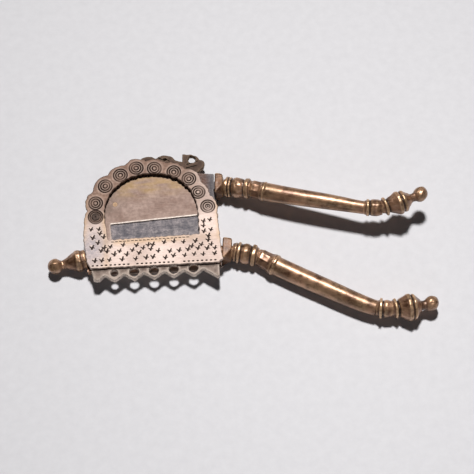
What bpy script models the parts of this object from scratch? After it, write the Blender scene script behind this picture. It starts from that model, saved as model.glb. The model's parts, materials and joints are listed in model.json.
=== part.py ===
"""Lever nutcracker with a windowed guard: a blade arm swings between two guard plates.

The tool lies flat on its back plate. X runs along the jaw towards the handles, Y points
from the anvil towards the arch of the guard, and Z is the thickness of the tool.
Outlines are in millimetres from the pivot, and MM turns them into metres.
"""

import math

import bmesh
import bpy
from mathutils import Matrix, Vector

MM = 0.001
GAP = 0.3

# Where the pivot stands, seen from the middle of the tool's own box
PIVOT_X = -62.959
PIVOT_Y = 13.372
REST_OPENING = math.radians(2.35)

# Thickness of each layer, from the surface the tool lies on
BACK_PLATE = (0.0, 1.5)
SLOT = (1.8, 8.2)
FRONT_PLATE = (8.5, 10.0)
BACK_CHEEK = (2.6, 3.4)
BLADE = (3.7, 6.3)
FRONT_CHEEK = (6.6, 7.4)
CREST = (6.2, 8.2)
CREST_REBATE_FLOOR = 5.9

# Guard plates
RING_CENTRES = [
    (0.0, 0.0), (0.2, 6.8), (4.8, 15.0), (11.8, 20.0), (19.1, 23.1),
    (27.3, 22.3), (36.0, 19.8), (42.6, 15.9), (46.3, 8.9), (50.2, 1.6),
]
FIRST_LOBE_HEIGHT = 5.1
LOBE_HEIGHT = 4.65
LAST_LOBE_HEIGHT = 3.7
NOTCH_HEIGHT = 4.25
PLATE_FOOT_LEFT = -24.8
PLATE_FOOT_RIGHT = -25.9
PLATE_RIGHT = 54.6
PLATE_LEFT = -5.8
WINDOW_CENTRE = (24.7, -1.0)
WINDOW_HALF_WIDTH = 20.8
WINDOW_ARCH_HEIGHT = 21.0
WINDOW_BOTTOM = -11.5
ARCH_FULLNESS = 2.2

# Anvil bar and crest strip
ANVIL_TOP = -15.8
ANVIL_BOTTOM = -24.2
ANVIL_ENDS = (-4.7, 54.3)
TANG_ROOTS = (1.5, 3.0)
REBATE_TOP = -18.0
CREST_TONGUE = (-2.6, 52.3)
TOOTH_PITCH = 8.7
FIRST_TOOTH_X = 7.2
TOOTH_COUNT = 5
TOOTH_TIP = -30.9
TOOTH_VALLEY = -28.0
CREST_HOLE_Y = -27.15
CREST_HOLE_RADIUS = 2.1
FIRST_HOLE_RADIUS = 1.6
PLATE_RIVETS_X = (0.4, 17.0, 34.0, 50.5)
PLATE_RIVET_Y = -20.6
RIVET_RADIUS = 1.2
RIVET_HOLE_RADIUS = RIVET_RADIUS + GAP

# Pivot
PIN_RADIUS = 1.9
PIN_HEAD_RADIUS = 2.9
PIN_HEAD_HEIGHT = 0.8
PIVOT_HOLE_RADIUS = PIN_RADIUS + GAP

# Blade arm, drawn closed: its edges are then parallel to the anvil
CHEEK_CHORD = -3.35
CHEEK_OVERLAP = 4.5
CHEEK_STRIP_X = (1.2, 6.2)
CHEEK_STRIP_BOTTOM = -13.2
CUTTING_EDGE = -15.5
BLADE_LEFT = 1.4
BLADE_RIGHT = 52.5
BLADE_SETBACK = -1.0
LUG_TOP = 4.4
LUG_FOOT = (-2.5, -4.5)
WEB_START = 41.0
JAW_CREST_REACH = (10.5, 40.0)
BLADE_RIVETS = [(9.0, 6.4), (47.6, 2.2)]
CREST_RIVETS = [(25.0, 22.2), (38.4, 18.4)]
CHEEK_RIVET_RADIUS = 1.1
LOOP_EYE = (45.6, 25.7)
LOOP_EYE_RADIUS = 1.7
TANG_HALF_HEIGHT = 1.9

# Handles: centre lines as (x, y, z), the upper one drawn with the blade arm closed
UPPER_ROOT = Vector((55.2, 11.1, 5.0))
UPPER_COLLAR_ANGLE = -7.0
UPPER_COLLAR_RISE = 0.1
UPPER_FERRULE_ANGLE = -17.3
UPPER_FERRULE_RISE = 0.21
UPPER_LINE = [
    (77.1, 4.0, 9.0), (87.9, 0.0, 10.4), (100.7, -4.3, 11.5),
    (109.4, -7.2, 12.1), (114.6, -9.0, 12.4), (119.0, -10.4, 12.6),
]
UPPER_RADII = (4.2, 3.9, 3.6, 3.3, 3.05, 2.9)
UPPER_BEAD_END = Vector((126.3, -11.6, 13.0))
UPPER_BALL = Vector((144.8, -7.1, 14.2))

LOWER_ROOT = Vector((56.2, -18.6, 5.0))
LOWER_COLLAR_ANGLE = -7.0
LOWER_COLLAR_RISE = 0.0
LOWER_FERRULE_ANGLE = -15.5
LOWER_FERRULE_RISE = 0.0
LOWER_LINE = [
    (78.7, -27.6, 5.1), (88.6, -33.5, 5.3), (98.0, -38.9, 5.4),
    (107.8, -44.6, 5.6), (115.0, -48.6, 5.8), (120.0, -50.9, 5.9),
]
LOWER_RADII = (4.3, 4.2, 4.1, 3.9, 3.65, 3.4)
LOWER_BEAD_END = Vector((126.4, -52.0, 6.4))
LOWER_BALL = Vector((144.5, -50.3, 6.0))

COLLAR_SIDE = 9.6
COLLAR_CHAMFER = 0.9
COLLAR_LENGTH = 3.2
UPPER_FERRULE_LENGTH = 11.8
LOWER_FERRULE_LENGTH = 10.8
TANG_LENGTH = 7.0
TANG_SETBACK = 1.2
TANG_BORE = 3.1
BEND_ROOM = 1.0
ROOT_TANG_RADIUS = 2.4

FINIAL_ROOT = Vector((-5.3, -18.0, 5.0))
FINIAL_ANGLE = 190.0
FINIAL_TANG_RADIUS = 1.8
FINIAL_TANG_LENGTH = 6.0

TURN_STEPS = 28
ARC_STEPS = 6
ARCH_STEPS = 22
LUG_STEPS = 4
HOLE_STEPS = 20
SMALL_HOLE_STEPS = 16
NECK_SIDES = 8

COLOURS = {
    "guard_brass": ((0.56, 0.42, 0.33), 0.34, 1.0),
    "cheek_brass": ((0.60, 0.44, 0.31), 0.30, 1.0),
    "bronze": ((0.36, 0.21, 0.10), 0.36, 1.0),
    "blade_steel": ((0.25, 0.26, 0.29), 0.40, 1.0),
    "pin_metal": ((0.17, 0.13, 0.11), 0.45, 1.0),
    "copper_rivet": ((0.62, 0.38, 0.20), 0.35, 1.0),
}


def clear_scene():
    for obj in list(bpy.data.objects):
        bpy.data.objects.remove(obj, do_unlink=True)


def new_collection(name):
    collection = bpy.data.collections.new(name)
    bpy.context.scene.collection.children.link(collection)
    return collection


def make_material(name):
    colour, roughness, metallic = COLOURS[name]
    material = bpy.data.materials.new(name)
    material.use_nodes = True
    shader = material.node_tree.nodes["Principled BSDF"]
    shader.inputs["Base Color"].default_value = (*colour, 1.0)
    shader.inputs["Roughness"].default_value = roughness
    shader.inputs["Metallic"].default_value = metallic
    return material


def arc_through(start, middle, end, steps):
    """Points on the circle through three points, from start up to but not including end."""
    (ax, ay), (bx, by), (cx, cy) = start, middle, end
    det = 2.0 * (ax * (by - cy) + bx * (cy - ay) + cx * (ay - by))
    squares = [x * x + y * y for x, y in (start, middle, end)]
    ux = (squares[0] * (by - cy) + squares[1] * (cy - ay) + squares[2] * (ay - by)) / det
    uy = (squares[0] * (cx - bx) + squares[1] * (ax - cx) + squares[2] * (bx - ax)) / det
    radius = math.hypot(ax - ux, ay - uy)
    first = math.atan2(ay - uy, ax - ux)
    sweep = (math.atan2(cy - uy, cx - ux) - first) % (2 * math.pi)
    through = (math.atan2(by - uy, bx - ux) - first) % (2 * math.pi)
    if through > sweep:
        sweep -= 2 * math.pi
    angles = [first + sweep * i / steps for i in range(steps)]
    return [(ux + radius * math.cos(a), uy + radius * math.sin(a)) for a in angles]


def circle(x, y, radius, steps=HOLE_STEPS):
    turns = [2 * math.pi * i / steps for i in range(steps)]
    return [(x + radius * math.cos(a), y + radius * math.sin(a)) for a in turns]


def window_arch(margin):
    """The window's rounded arch from its left foot to its right foot, grown by a margin."""
    points = []
    for i in range(ARCH_STEPS + 1):
        turn = math.pi - math.pi * i / ARCH_STEPS
        c, s = math.cos(turn), math.sin(turn)
        x = math.copysign(abs(c) ** (2 / ARCH_FULLNESS), c) * (WINDOW_HALF_WIDTH + margin)
        y = abs(s) ** (2 / ARCH_FULLNESS) * (WINDOW_ARCH_HEIGHT + margin)
        points.append((WINDOW_CENTRE[0] + x, WINDOW_CENTRE[1] + y))
    return points


def pivot_lug():
    """Rounded left end that the cheeks and the blade share round the pivot."""
    return arc_through((-3.9, -2.0), (-3.9, 2.0), (0.0, LUG_TOP), LUG_STEPS)


def outward_points():
    """Lobe tops over the ring centres and the notches halfway between them."""
    centres = [Vector(c) for c in RING_CENTRES]
    below_first = centres[0] + Vector((0.0, -7.0))
    below_last = centres[-1] + Vector((1.6, -7.0))
    line = [below_first, *centres, below_last]
    heights = [FIRST_LOBE_HEIGHT] + [LOBE_HEIGHT] * (len(centres) - 2) + [LAST_LOBE_HEIGHT]
    tops, notches = [], []
    for before, here, after, height in zip(line, line[1:], line[2:], heights):
        along = (after - before).normalized()
        out = Vector((-along.y, along.x))
        tops.append(here + out * height)
    for here, after in zip(line, line[1:]):
        along = (after - here).normalized()
        out = Vector((-along.y, along.x))
        notches.append((here + after) / 2 + out * NOTCH_HEIGHT)
    notches[0].x = PLATE_LEFT + 0.5
    notches[-1].x = PLATE_RIGHT - 0.4
    return tops, notches


def plate_outline():
    tops, notches = outward_points()
    outline = []
    for top, left, right in zip(tops, notches, notches[1:]):
        outline += arc_through(tuple(left), tuple(top), tuple(right), ARC_STEPS)
    outline.append(tuple(notches[-1]))
    outline += [(PLATE_RIGHT, -12.0), (PLATE_RIGHT + 0.3, -21.6), (PLATE_RIGHT + 0.8, -24.4)]
    outline += [(PLATE_RIGHT - 1.4, PLATE_FOOT_RIGHT), (PLATE_LEFT + 2.6, PLATE_FOOT_LEFT)]
    outline += [(PLATE_LEFT + 1.3, -21.6), (PLATE_LEFT + 0.6, -17.0), (PLATE_LEFT + 0.1, -13.0)]
    outline.append((PLATE_LEFT, -8.0))
    return outline


def window_outline():
    left = WINDOW_CENTRE[0] - WINDOW_HALF_WIDTH
    right = WINDOW_CENTRE[0] + WINDOW_HALF_WIDTH
    return window_arch(0.0) + [(right, WINDOW_BOTTOM), (left + 1.4, WINDOW_BOTTOM)]


def crest_outline():
    left_foot = FIRST_TOOTH_X - TOOTH_PITCH / 2
    tongue_left, tongue_right = CREST_TONGUE
    top, shoulder = REBATE_TOP - GAP, ANVIL_BOTTOM - GAP
    points = [(tongue_left, top), (tongue_left, shoulder), (-3.0, shoulder)]
    points += [(-2.0, -29.9), (0.5, -30.3)]
    for i in range(TOOTH_COUNT):
        points.append((left_foot + TOOTH_PITCH * i, TOOTH_VALLEY))
        points.append((FIRST_TOOTH_X + TOOTH_PITCH * i, TOOTH_TIP))
    points.append((left_foot + TOOTH_PITCH * TOOTH_COUNT, TOOTH_VALLEY))
    points += [(52.4, -32.2), (53.4, -31.6), (53.6, shoulder)]
    points += [(tongue_right, shoulder), (tongue_right, top)]
    return points


def crest_holes():
    radii = [FIRST_HOLE_RADIUS] + [CREST_HOLE_RADIUS] * (TOOTH_COUNT - 1)
    holes = []
    for i, radius in enumerate(radii):
        holes.append(circle(FIRST_TOOTH_X + TOOTH_PITCH * i, CREST_HOLE_Y, radius))
    return holes


def cheek_outline():
    """Half moon under the arch, with a strip down its left side beside the blade."""
    arch = window_arch(CHEEK_OVERLAP)
    inner, outer = CHEEK_STRIP_X[1], arch[-1][0]
    foot = [(outer, CHEEK_CHORD), (inner, CHEEK_CHORD), (inner, CHEEK_STRIP_BOTTOM)]
    foot += [(CHEEK_STRIP_X[0], CHEEK_STRIP_BOTTOM), LUG_FOOT]
    kept = [p for p in arch if p[1] > LUG_TOP or p[0] > WINDOW_CENTRE[0]]
    return pivot_lug() + kept + foot


def tang_corners(root, angle_deg):
    """Two near and two far corners of a flat tang that runs into a handle."""
    angle = math.radians(angle_deg)
    along = Vector((math.cos(angle), math.sin(angle)))
    across = Vector((-along.y, along.x)) * TANG_HALF_HEIGHT
    start = root.to_2d() - along * TANG_SETBACK
    far = start + along * TANG_LENGTH
    return [tuple(start + across), tuple(far + across),
            tuple(far - across), tuple(start - across)]


def blade_outline():
    """Steel plate: lug round the pivot, straight cutting edge, web and tang."""
    spine = [p for p in window_arch(BLADE_SETBACK) if p[1] > LUG_TOP and p[0] < WEB_START]
    web = [(47.2, 18.2), (54.6, 16.9)]
    tang = tang_corners(UPPER_ROOT, UPPER_COLLAR_ANGLE)
    foot = [(53.9, 4.2), (BLADE_RIGHT, -5.0), (BLADE_RIGHT, CUTTING_EDGE)]
    foot += [(BLADE_LEFT, CUTTING_EDGE), LUG_FOOT]
    return pivot_lug() + spine + web + tang + foot


def jaw_crest_outline():
    """Brass strip on the blade's back, with low bumps and the loop at its right end."""
    left, right = JAW_CREST_REACH
    under = [p for p in window_arch(BLADE_SETBACK + GAP) if left < p[0] < right]
    under.append((40.6, 13.7))
    top = [(12.0, 21.4), (17.0, 24.6), (20.8, 26.6)]
    top += arc_through((20.8, 26.6), (25.4, 29.5), (29.2, 28.0), 6)[1:]
    top += arc_through((29.2, 28.0), (33.4, 29.2), (38.1, 26.3), 6)
    loop = [(38.1, 26.3), (41.2, 25.0), (41.5, 28.9), (45.5, 28.2), (48.2, 27.0)]
    loop += [(49.2, 25.1), (50.6, 24.7), (51.3, 23.2), (50.7, 21.2), (47.6, 18.7), (46.6, 18.6)]
    return top + loop + list(reversed(under))


def flat_sheet(name, outer, holes, layer, material, collection):
    """Sheet with a closed outline and holes, filled between the two heights of a layer."""
    low, high = layer
    curve = bpy.data.curves.new(name, "CURVE")
    curve.dimensions = "2D"
    curve.fill_mode = "BOTH"
    curve.extrude = (high - low) / 2 * MM
    for loop in (outer, *holes):
        spline = curve.splines.new("POLY")
        spline.points.add(len(loop) - 1)
        for point, (x, y) in zip(spline.points, loop):
            point.co = (x * MM, y * MM, 0.0, 1.0)
        spline.use_cyclic_u = True
    curve.materials.append(material)
    sheet = bpy.data.objects.new(name, curve)
    sheet.location.z = (low + high) / 2 * MM
    collection.objects.link(sheet)
    return sheet


def curve_to_mesh(obj, collection):
    """Replace a curve object by a welded mesh object of the same name."""
    bpy.context.view_layer.update()
    depsgraph = bpy.context.evaluated_depsgraph_get()
    mesh = bpy.data.meshes.new_from_object(obj.evaluated_get(depsgraph))
    bm = bmesh.new()
    bm.from_mesh(mesh)
    bmesh.ops.remove_doubles(bm, verts=bm.verts, dist=0.00001)
    bmesh.ops.recalc_face_normals(bm, faces=bm.faces)
    bm.to_mesh(mesh)
    bm.free()
    name, matrix = obj.name, obj.matrix_world.copy()
    bpy.data.objects.remove(obj, do_unlink=True)
    solid = bpy.data.objects.new(name, mesh)
    solid.matrix_world = matrix
    collection.objects.link(solid)
    return solid


def turned(name, profile, material, collection):
    """Turn (radius, height) pairs, listed down the outer side, about the local Z axis."""
    mesh = bpy.data.meshes.new(name)
    bm = bmesh.new()
    verts = [bm.verts.new((radius * MM, 0.0, height * MM)) for radius, height in profile]
    for upper, lower in zip(verts, verts[1:]):
        bm.edges.new((upper, lower))
    bm.to_mesh(mesh)
    bm.free()
    mesh.materials.append(material)
    obj = bpy.data.objects.new(name, mesh)
    screw = obj.modifiers.new("turning", "SCREW")
    screw.axis = "Z"
    screw.steps = TURN_STEPS
    screw.render_steps = TURN_STEPS
    screw.use_merge_vertices = True
    screw.merge_threshold = 0.00001
    screw.use_smooth_shade = True
    collection.objects.link(obj)
    return obj


def aim(obj, start, direction):
    """Stand an object's local Z along a direction, with its origin at a start point."""
    obj.rotation_euler = Vector(direction).to_track_quat("Z", "Y").to_euler()
    obj.location = Vector(start) * MM


def heading(angle_deg, rise=0.0):
    angle = math.radians(angle_deg)
    return Vector((math.cos(angle), math.sin(angle), rise)).normalized()


def cut(obj, cutter, operation="DIFFERENCE"):
    boolean = obj.modifiers.new(cutter.name, "BOOLEAN")
    boolean.operation = operation
    boolean.object = cutter
    boolean.solver = "EXACT"


def cylinder_tool(name, start, direction, radius, length, tools, frame):
    """Round bar from a start point along a direction, for a Boolean."""
    bm = bmesh.new()
    bmesh.ops.create_cone(bm, cap_ends=True, segments=20, radius1=radius * MM,
                          radius2=radius * MM, depth=length * MM,
                          matrix=Matrix.Translation((0.0, 0.0, length / 2 * MM)))
    mesh = bpy.data.meshes.new(name)
    bm.to_mesh(mesh)
    bm.free()
    tool = bpy.data.objects.new(name, mesh)
    tools.objects.link(tool)
    aim(tool, start, direction)
    tool.hide_render = True
    tool.display_type = "WIRE"
    return attach(tool, frame)


def attach(obj, frame):
    obj.parent = frame
    return obj


def make_plates(parts, frame, brass):
    outline, window = plate_outline(), window_outline()
    holes = [window, circle(0.0, 0.0, PIVOT_HOLE_RADIUS)]
    holes += [circle(x, PLATE_RIVET_Y, RIVET_HOLE_RADIUS) for x in PLATE_RIVETS_X]
    for name, layer in (("front_guard_plate", FRONT_PLATE), ("back_guard_plate", BACK_PLATE)):
        attach(flat_sheet(name, outline, holes, layer, brass, parts), frame)


def make_anvil_bar(parts, tools, frame, bronze):
    """Bar between the plates, rebated for the crest, with a round tang at each end."""
    low, high = SLOT
    section = [(ANVIL_TOP, low), (ANVIL_TOP, high), (REBATE_TOP, high),
               (REBATE_TOP, CREST_REBATE_FLOOR), (ANVIL_BOTTOM, CREST_REBATE_FLOOR),
               (ANVIL_BOTTOM, low)]
    left, right = ANVIL_ENDS
    half = (right - left) / 2
    bar = flat_sheet("anvil_bar", section, [], (-half, half), bronze, parts)
    bar.matrix_world = Matrix.Translation(((left + half) * MM, 0.0, 0.0)) @ Matrix(
        ((0, 0, 1, 0), (1, 0, 0, 0), (0, 1, 0, 0), (0, 0, 0, 1)))
    bar = curve_to_mesh(bar, parts)
    bar.data.materials.clear()
    bar.data.materials.append(bronze)
    lower = heading(LOWER_COLLAR_ANGLE)
    finial = heading(FINIAL_ANGLE)
    cut(bar, cylinder_tool("lower_tang", LOWER_ROOT - lower * TANG_ROOTS[1], lower,
                           ROOT_TANG_RADIUS, TANG_LENGTH + TANG_ROOTS[1], tools, frame), "UNION")
    cut(bar, cylinder_tool("finial_tang", FINIAL_ROOT - finial * TANG_ROOTS[0], finial,
                           FINIAL_TANG_RADIUS, FINIAL_TANG_LENGTH + TANG_ROOTS[0], tools, frame),
        "UNION")
    for i, x in enumerate(PLATE_RIVETS_X):
        cut(bar, cylinder_tool(f"bar_rivet_hole_{i}", (x, PLATE_RIVET_Y, -1.0), (0, 0, 1),
                               RIVET_HOLE_RADIUS, 12.0, tools, frame))
    attach(bar, frame)


def make_crest(parts, frame, brass):
    holes = crest_holes()
    holes += [circle(x, PLATE_RIVET_Y, RIVET_HOLE_RADIUS) for x in PLATE_RIVETS_X]
    attach(flat_sheet("pierced_crest", crest_outline(), holes, CREST, brass, parts), frame)


def make_plate_rivets(parts, frame, brass):
    top, bottom = FRONT_PLATE[1], BACK_PLATE[0] + 0.1
    profile = [(0.0, top), (RIVET_RADIUS, top), (RIVET_RADIUS, bottom), (0.0, bottom)]
    for i, x in enumerate(PLATE_RIVETS_X):
        rivet = turned(f"plate_rivet_{i + 1}", profile, brass, parts)
        rivet.location = (x * MM, PLATE_RIVET_Y * MM, 0.0)
        attach(rivet, frame)


def make_pivot_pin(parts, frame, metal):
    head_low = FRONT_PLATE[1] + GAP
    crown = head_low + PIN_HEAD_HEIGHT
    bottom = BACK_PLATE[0] + 0.1
    profile = [(0.0, crown), (PIN_HEAD_RADIUS * 0.6, crown - 0.1),
               (PIN_HEAD_RADIUS, head_low + 0.25), (PIN_HEAD_RADIUS, head_low),
               (PIN_RADIUS, head_low), (PIN_RADIUS, bottom), (0.0, bottom)]
    attach(turned("pivot_pin", profile, metal, parts), frame)


def make_blade_arm(parts, frame, steel, cheek_brass, copper):
    pivot_hole = circle(0.0, 0.0, PIVOT_HOLE_RADIUS)
    hole_radius = CHEEK_RIVET_RADIUS + GAP
    blade_holes = [circle(*spot, hole_radius, SMALL_HOLE_STEPS) for spot in BLADE_RIVETS]
    jaw_crest_holes = [circle(*spot, hole_radius, SMALL_HOLE_STEPS) for spot in CREST_RIVETS]
    attach(flat_sheet("blade", blade_outline(), [pivot_hole, *blade_holes], BLADE, steel,
                      parts), frame)
    for name, layer in (("front_cheek", FRONT_CHEEK), ("back_cheek", BACK_CHEEK)):
        holes = [pivot_hole, *blade_holes, *jaw_crest_holes]
        attach(flat_sheet(name, cheek_outline(), holes, layer, cheek_brass, parts), frame)
    eye = circle(*LOOP_EYE, LOOP_EYE_RADIUS, SMALL_HOLE_STEPS)
    attach(flat_sheet("jaw_crest", jaw_crest_outline(), [eye, *jaw_crest_holes], BLADE,
                      cheek_brass, parts), frame)
    top, bottom = FRONT_CHEEK[1], BACK_CHEEK[0]
    radius = CHEEK_RIVET_RADIUS
    profile = [(0.0, top), (radius, top), (radius, bottom), (0.0, bottom)]
    for i, (x, y) in enumerate(BLADE_RIVETS + CREST_RIVETS):
        rivet = turned(f"cheek_rivet_{i + 1}", profile, copper, parts)
        rivet.location = (x * MM, y * MM, 0.0)
        attach(rivet, frame)


def make_collar(name, root, direction, bore, parts, frame, bronze):
    """Square cushion collar with softened edges and a round bore for the tang."""
    half = COLLAR_SIDE / 2
    corner = half - COLLAR_CHAMFER
    square = [(-half, -corner), (-corner, -half), (corner, -half), (half, -corner),
              (half, corner), (corner, half), (-corner, half), (-half, corner)]
    collar = flat_sheet(name, square, [circle(0.0, 0.0, bore)], (0.0, COLLAR_LENGTH),
                        bronze, parts)
    collar = curve_to_mesh(collar, parts)
    collar.data.materials.clear()
    collar.data.materials.append(bronze)
    flat = Vector(direction)
    side = Vector((-flat.y, flat.x, 0.0)).normalized()
    turn = Matrix((side, flat.cross(side), flat)).transposed().to_4x4()
    middle = root + flat * COLLAR_LENGTH / 2
    collar.matrix_world = Matrix.Translation(middle * MM) @ turn
    attach(collar, frame)


def ferrule_profile(bore, length, ring, barrel, waist):
    """Ring, barrel and ring, bored blind for the tang; height 0 is the collar's side."""
    bore_depth = TANG_LENGTH - COLLAR_LENGTH + 0.8
    return [
        (0.0, length), (waist, length), (waist, length - 0.3), (ring, length - 0.7),
        (ring, length - 2.1), (waist, length - 2.6), (barrel, length * 0.56),
        (barrel, length * 0.42), (waist, 3.4), (waist, 2.9), (ring, 2.5), (ring, 0.9),
        (waist, 0.4), (waist, 0.0), (bore, 0.0), (bore, bore_depth), (0.0, bore_depth),
    ]


def make_neck(name, start, direction, length, radii, parts, frame, bronze):
    """Eight-sided neck that widens to a round seam ring."""
    near, far, ring = radii
    profile = [(0.0, length), (ring, length), (ring, length - 1.2), (far, length - 1.3),
               (near, 0.0), (0.0, 0.0)]
    neck = turned(name, profile, bronze, parts)
    screw = neck.modifiers["turning"]
    screw.steps = screw.render_steps = NECK_SIDES
    screw.use_smooth_shade = False
    aim(neck, start, direction)
    attach(neck, frame)


def make_grip(name, line, radii, parts, frame, bronze):
    """Tapered round stem on a smooth line through its own points."""
    curve = bpy.data.curves.new(name, "CURVE")
    curve.dimensions = "3D"
    curve.bevel_depth = MM
    curve.bevel_resolution = 5
    curve.use_fill_caps = True
    spline = curve.splines.new("POLY")
    points = smooth_line(line, radii, 4)
    spline.points.add(len(points) - 1)
    for point, (place, radius) in zip(spline.points, points):
        point.co = (*(place * MM), 1.0)
        point.radius = radius
    curve.materials.append(bronze)
    grip = bpy.data.objects.new(name, curve)
    parts.objects.link(grip)
    attach(grip, frame)


def smooth_line(line, radii, steps):
    """Catmull-Rom points and radii along a line of control points."""
    knots = [Vector((*place, radius)) for place, radius in zip(line, radii)]
    knots = [2 * knots[0] - knots[1], *knots, 2 * knots[-1] - knots[-2]]
    points = []
    for a, b, c, d in zip(knots, knots[1:], knots[2:], knots[3:]):
        for i in range(steps):
            t = i / steps
            value = (2 * b + (c - a) * t + (2 * a - 5 * b + 4 * c - d) * t * t
                     + (3 * b - a - 3 * c + d) * t * t * t) / 2
            points.append(value)
    points.append(knots[-2])
    return [(Vector(p[:3]), p[3]) for p in points]


def bead_profile(length, ring, barrel, waist):
    return [
        (0.0, length), (waist, length), (barrel, length * 0.86), (barrel, length * 0.52),
        (waist, length * 0.38), (ring, length * 0.3), (ring, length * 0.08),
        (waist, 0.0), (0.0, 0.0),
    ]


def knob_profile(length, ring, ridge, neck, ball):
    """Ring, flaring knob with two ridges, neck and ball; length reaches the ball's centre."""
    rows = [(0.0, length + ball)]
    for i in range(1, 8):
        turn = math.radians(90 - i * 20)
        rows.append((ball * math.cos(turn), length + ball * math.sin(turn)))
    rows += [
        (neck, length - ball * 0.95), (neck * 1.15, length - ball * 1.3),
        (ridge * 0.56, length * 0.67), (ridge * 0.84, length * 0.57), (ridge * 0.86, length * 0.52),
        (ridge, length * 0.47), (ridge, length * 0.4), (ridge * 0.87, length * 0.34),
        (ring * 0.75, length * 0.13), (ring * 0.75, length * 0.11), (ring, length * 0.09),
        (ring, 0.2), (ring * 0.85, 0.0), (0.0, 0.0),
    ]
    return rows


def seam(first_way, second_way, radius):
    """Step that keeps two butted round ends clear of each other where the line bends."""
    return GAP + radius * math.sin(first_way.angle(second_way))


def make_handle(prefix, spec, parts, frame, bronze):
    """Collar, bead ferrule, neck, grip, end bead and end knob along one centre line."""
    root = spec["root"]
    collar_way = heading(spec["collar_angle"], spec["collar_rise"])
    forward = heading(spec["ferrule_angle"], spec["ferrule_rise"])
    length, ring, barrel, waist = spec["ferrule"]
    make_collar(f"{prefix}_collar", root, collar_way, spec["bore"], parts, frame, bronze)
    ferrule_start = (root + collar_way * COLLAR_LENGTH
                     + forward * seam(collar_way, forward, waist))
    ferrule_end = ferrule_start + forward * length
    ferrule = turned(f"{prefix}_bead_ferrule",
                     ferrule_profile(spec["bore"], length, ring, barrel, waist), bronze, parts)
    aim(ferrule, ferrule_start, forward)
    attach(ferrule, frame)

    line = [Vector(p) for p in spec["line"]]
    neck_way = (line[0] - ferrule_end).normalized()
    neck_start = ferrule_end + neck_way * seam(forward, neck_way, spec["neck"][0])
    grip_start_way = (line[1] - line[0]).normalized()
    neck_ring = spec["neck"][2]
    neck_length = (line[0] - neck_start).length - seam(neck_way, grip_start_way, neck_ring)
    make_neck(f"{prefix}_neck", neck_start, neck_way, neck_length, spec["neck"],
              parts, frame, bronze)
    make_grip(f"{prefix}_grip", line, spec["radii"], parts, frame, bronze)

    grip_way = (line[-1] - line[-2]).normalized()
    bead_way = (spec["bead_end"] - line[-1]).normalized()
    bead_start = line[-1] + bead_way * seam(grip_way, bead_way, spec["bead"][-1])
    bead_length = (spec["bead_end"] - bead_start).length
    bead = turned(f"{prefix}_end_bead", bead_profile(bead_length, *spec["bead"]), bronze, parts)
    aim(bead, bead_start, bead_way)
    attach(bead, frame)

    knob_way = (spec["ball"] - spec["bead_end"]).normalized()
    knob_start = spec["bead_end"] + knob_way * seam(bead_way, knob_way, spec["bead"][-1])
    knob_length = (spec["ball"] - knob_start).length
    knob = turned(f"{prefix}_end_knob", knob_profile(knob_length, *spec["knob"]), bronze, parts)
    aim(knob, knob_start, knob_way)
    attach(knob, frame)


def make_finial(parts, frame, bronze):
    """Cone on the bar's left tang, and the bud on its tip."""
    way = heading(FINIAL_ANGLE)
    bore = FINIAL_TANG_RADIUS + GAP
    cone = [(0.0, 10.6), (2.0, 10.6), (2.2, 9.0), (4.2, 5.2), (4.8, 4.6), (4.9, 2.6),
            (4.4, 2.0), (4.3, 0.3), (bore, 0.3), (bore, 6.8), (0.0, 6.8)]
    bud = [(0.0, 17.3), (0.9, 17.2), (2.9, 15.8), (3.5, 14.2), (2.9, 12.4), (2.0, 10.9),
           (0.0, 10.9)]
    for name, profile in (("finial_cone", cone), ("finial_bud", bud)):
        piece = turned(name, profile, bronze, parts)
        aim(piece, FINIAL_ROOT, way)
        attach(piece, frame)


def upper_handle():
    return {
        "root": UPPER_ROOT,
        "collar_angle": UPPER_COLLAR_ANGLE, "collar_rise": UPPER_COLLAR_RISE,
        "ferrule_angle": UPPER_FERRULE_ANGLE, "ferrule_rise": UPPER_FERRULE_RISE,
        "bore": TANG_BORE,
        "ferrule": (UPPER_FERRULE_LENGTH, 4.65, 4.6, 3.75), "neck": (3.9, 4.3, 4.35),
        "line": UPPER_LINE, "radii": UPPER_RADII,
        "bead_end": UPPER_BEAD_END, "bead": (3.75, 3.75, 3.2),
        "ball": UPPER_BALL, "knob": (4.2, 5.35, 1.8, 3.35),
    }


def lower_handle():
    return {
        "root": LOWER_ROOT,
        "collar_angle": LOWER_COLLAR_ANGLE, "collar_rise": LOWER_COLLAR_RISE,
        "ferrule_angle": LOWER_FERRULE_ANGLE, "ferrule_rise": LOWER_FERRULE_RISE,
        "bore": ROOT_TANG_RADIUS + BEND_ROOM,
        "ferrule": (LOWER_FERRULE_LENGTH, 4.8, 4.7, 4.0), "neck": (3.8, 4.2, 4.4),
        "line": LOWER_LINE, "radii": LOWER_RADII,
        "bead_end": LOWER_BEAD_END, "bead": (4.5, 3.9, 3.5),
        "ball": LOWER_BALL, "knob": (4.3, 6.1, 2.0, 3.35),
    }


def new_frame(name, turn, scene_collection):
    frame = bpy.data.objects.new(name, None)
    frame.location = (PIVOT_X * MM, PIVOT_Y * MM, 0.0)
    frame.rotation_euler = (0.0, 0.0, turn)
    scene_collection.objects.link(frame)
    return frame


def main():
    clear_scene()
    parts = new_collection("nutcracker")
    tools = new_collection("cutters")
    guard_frame = new_frame("guard_frame", 0.0, parts)
    blade_frame = new_frame("blade_frame", REST_OPENING, parts)
    guard_brass = make_material("guard_brass")
    cheek_brass = make_material("cheek_brass")
    bronze = make_material("bronze")

    make_plates(parts, guard_frame, guard_brass)
    make_anvil_bar(parts, tools, guard_frame, bronze)
    make_crest(parts, guard_frame, guard_brass)
    make_plate_rivets(parts, guard_frame, guard_brass)
    make_pivot_pin(parts, guard_frame, make_material("pin_metal"))
    make_finial(parts, guard_frame, bronze)
    make_handle("lower", lower_handle(), parts, guard_frame, bronze)

    make_blade_arm(parts, blade_frame, make_material("blade_steel"), cheek_brass,
                   make_material("copper_rivet"))
    make_handle("upper", upper_handle(), parts, blade_frame, bronze)
    bpy.context.view_layer.update()


main()
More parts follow.
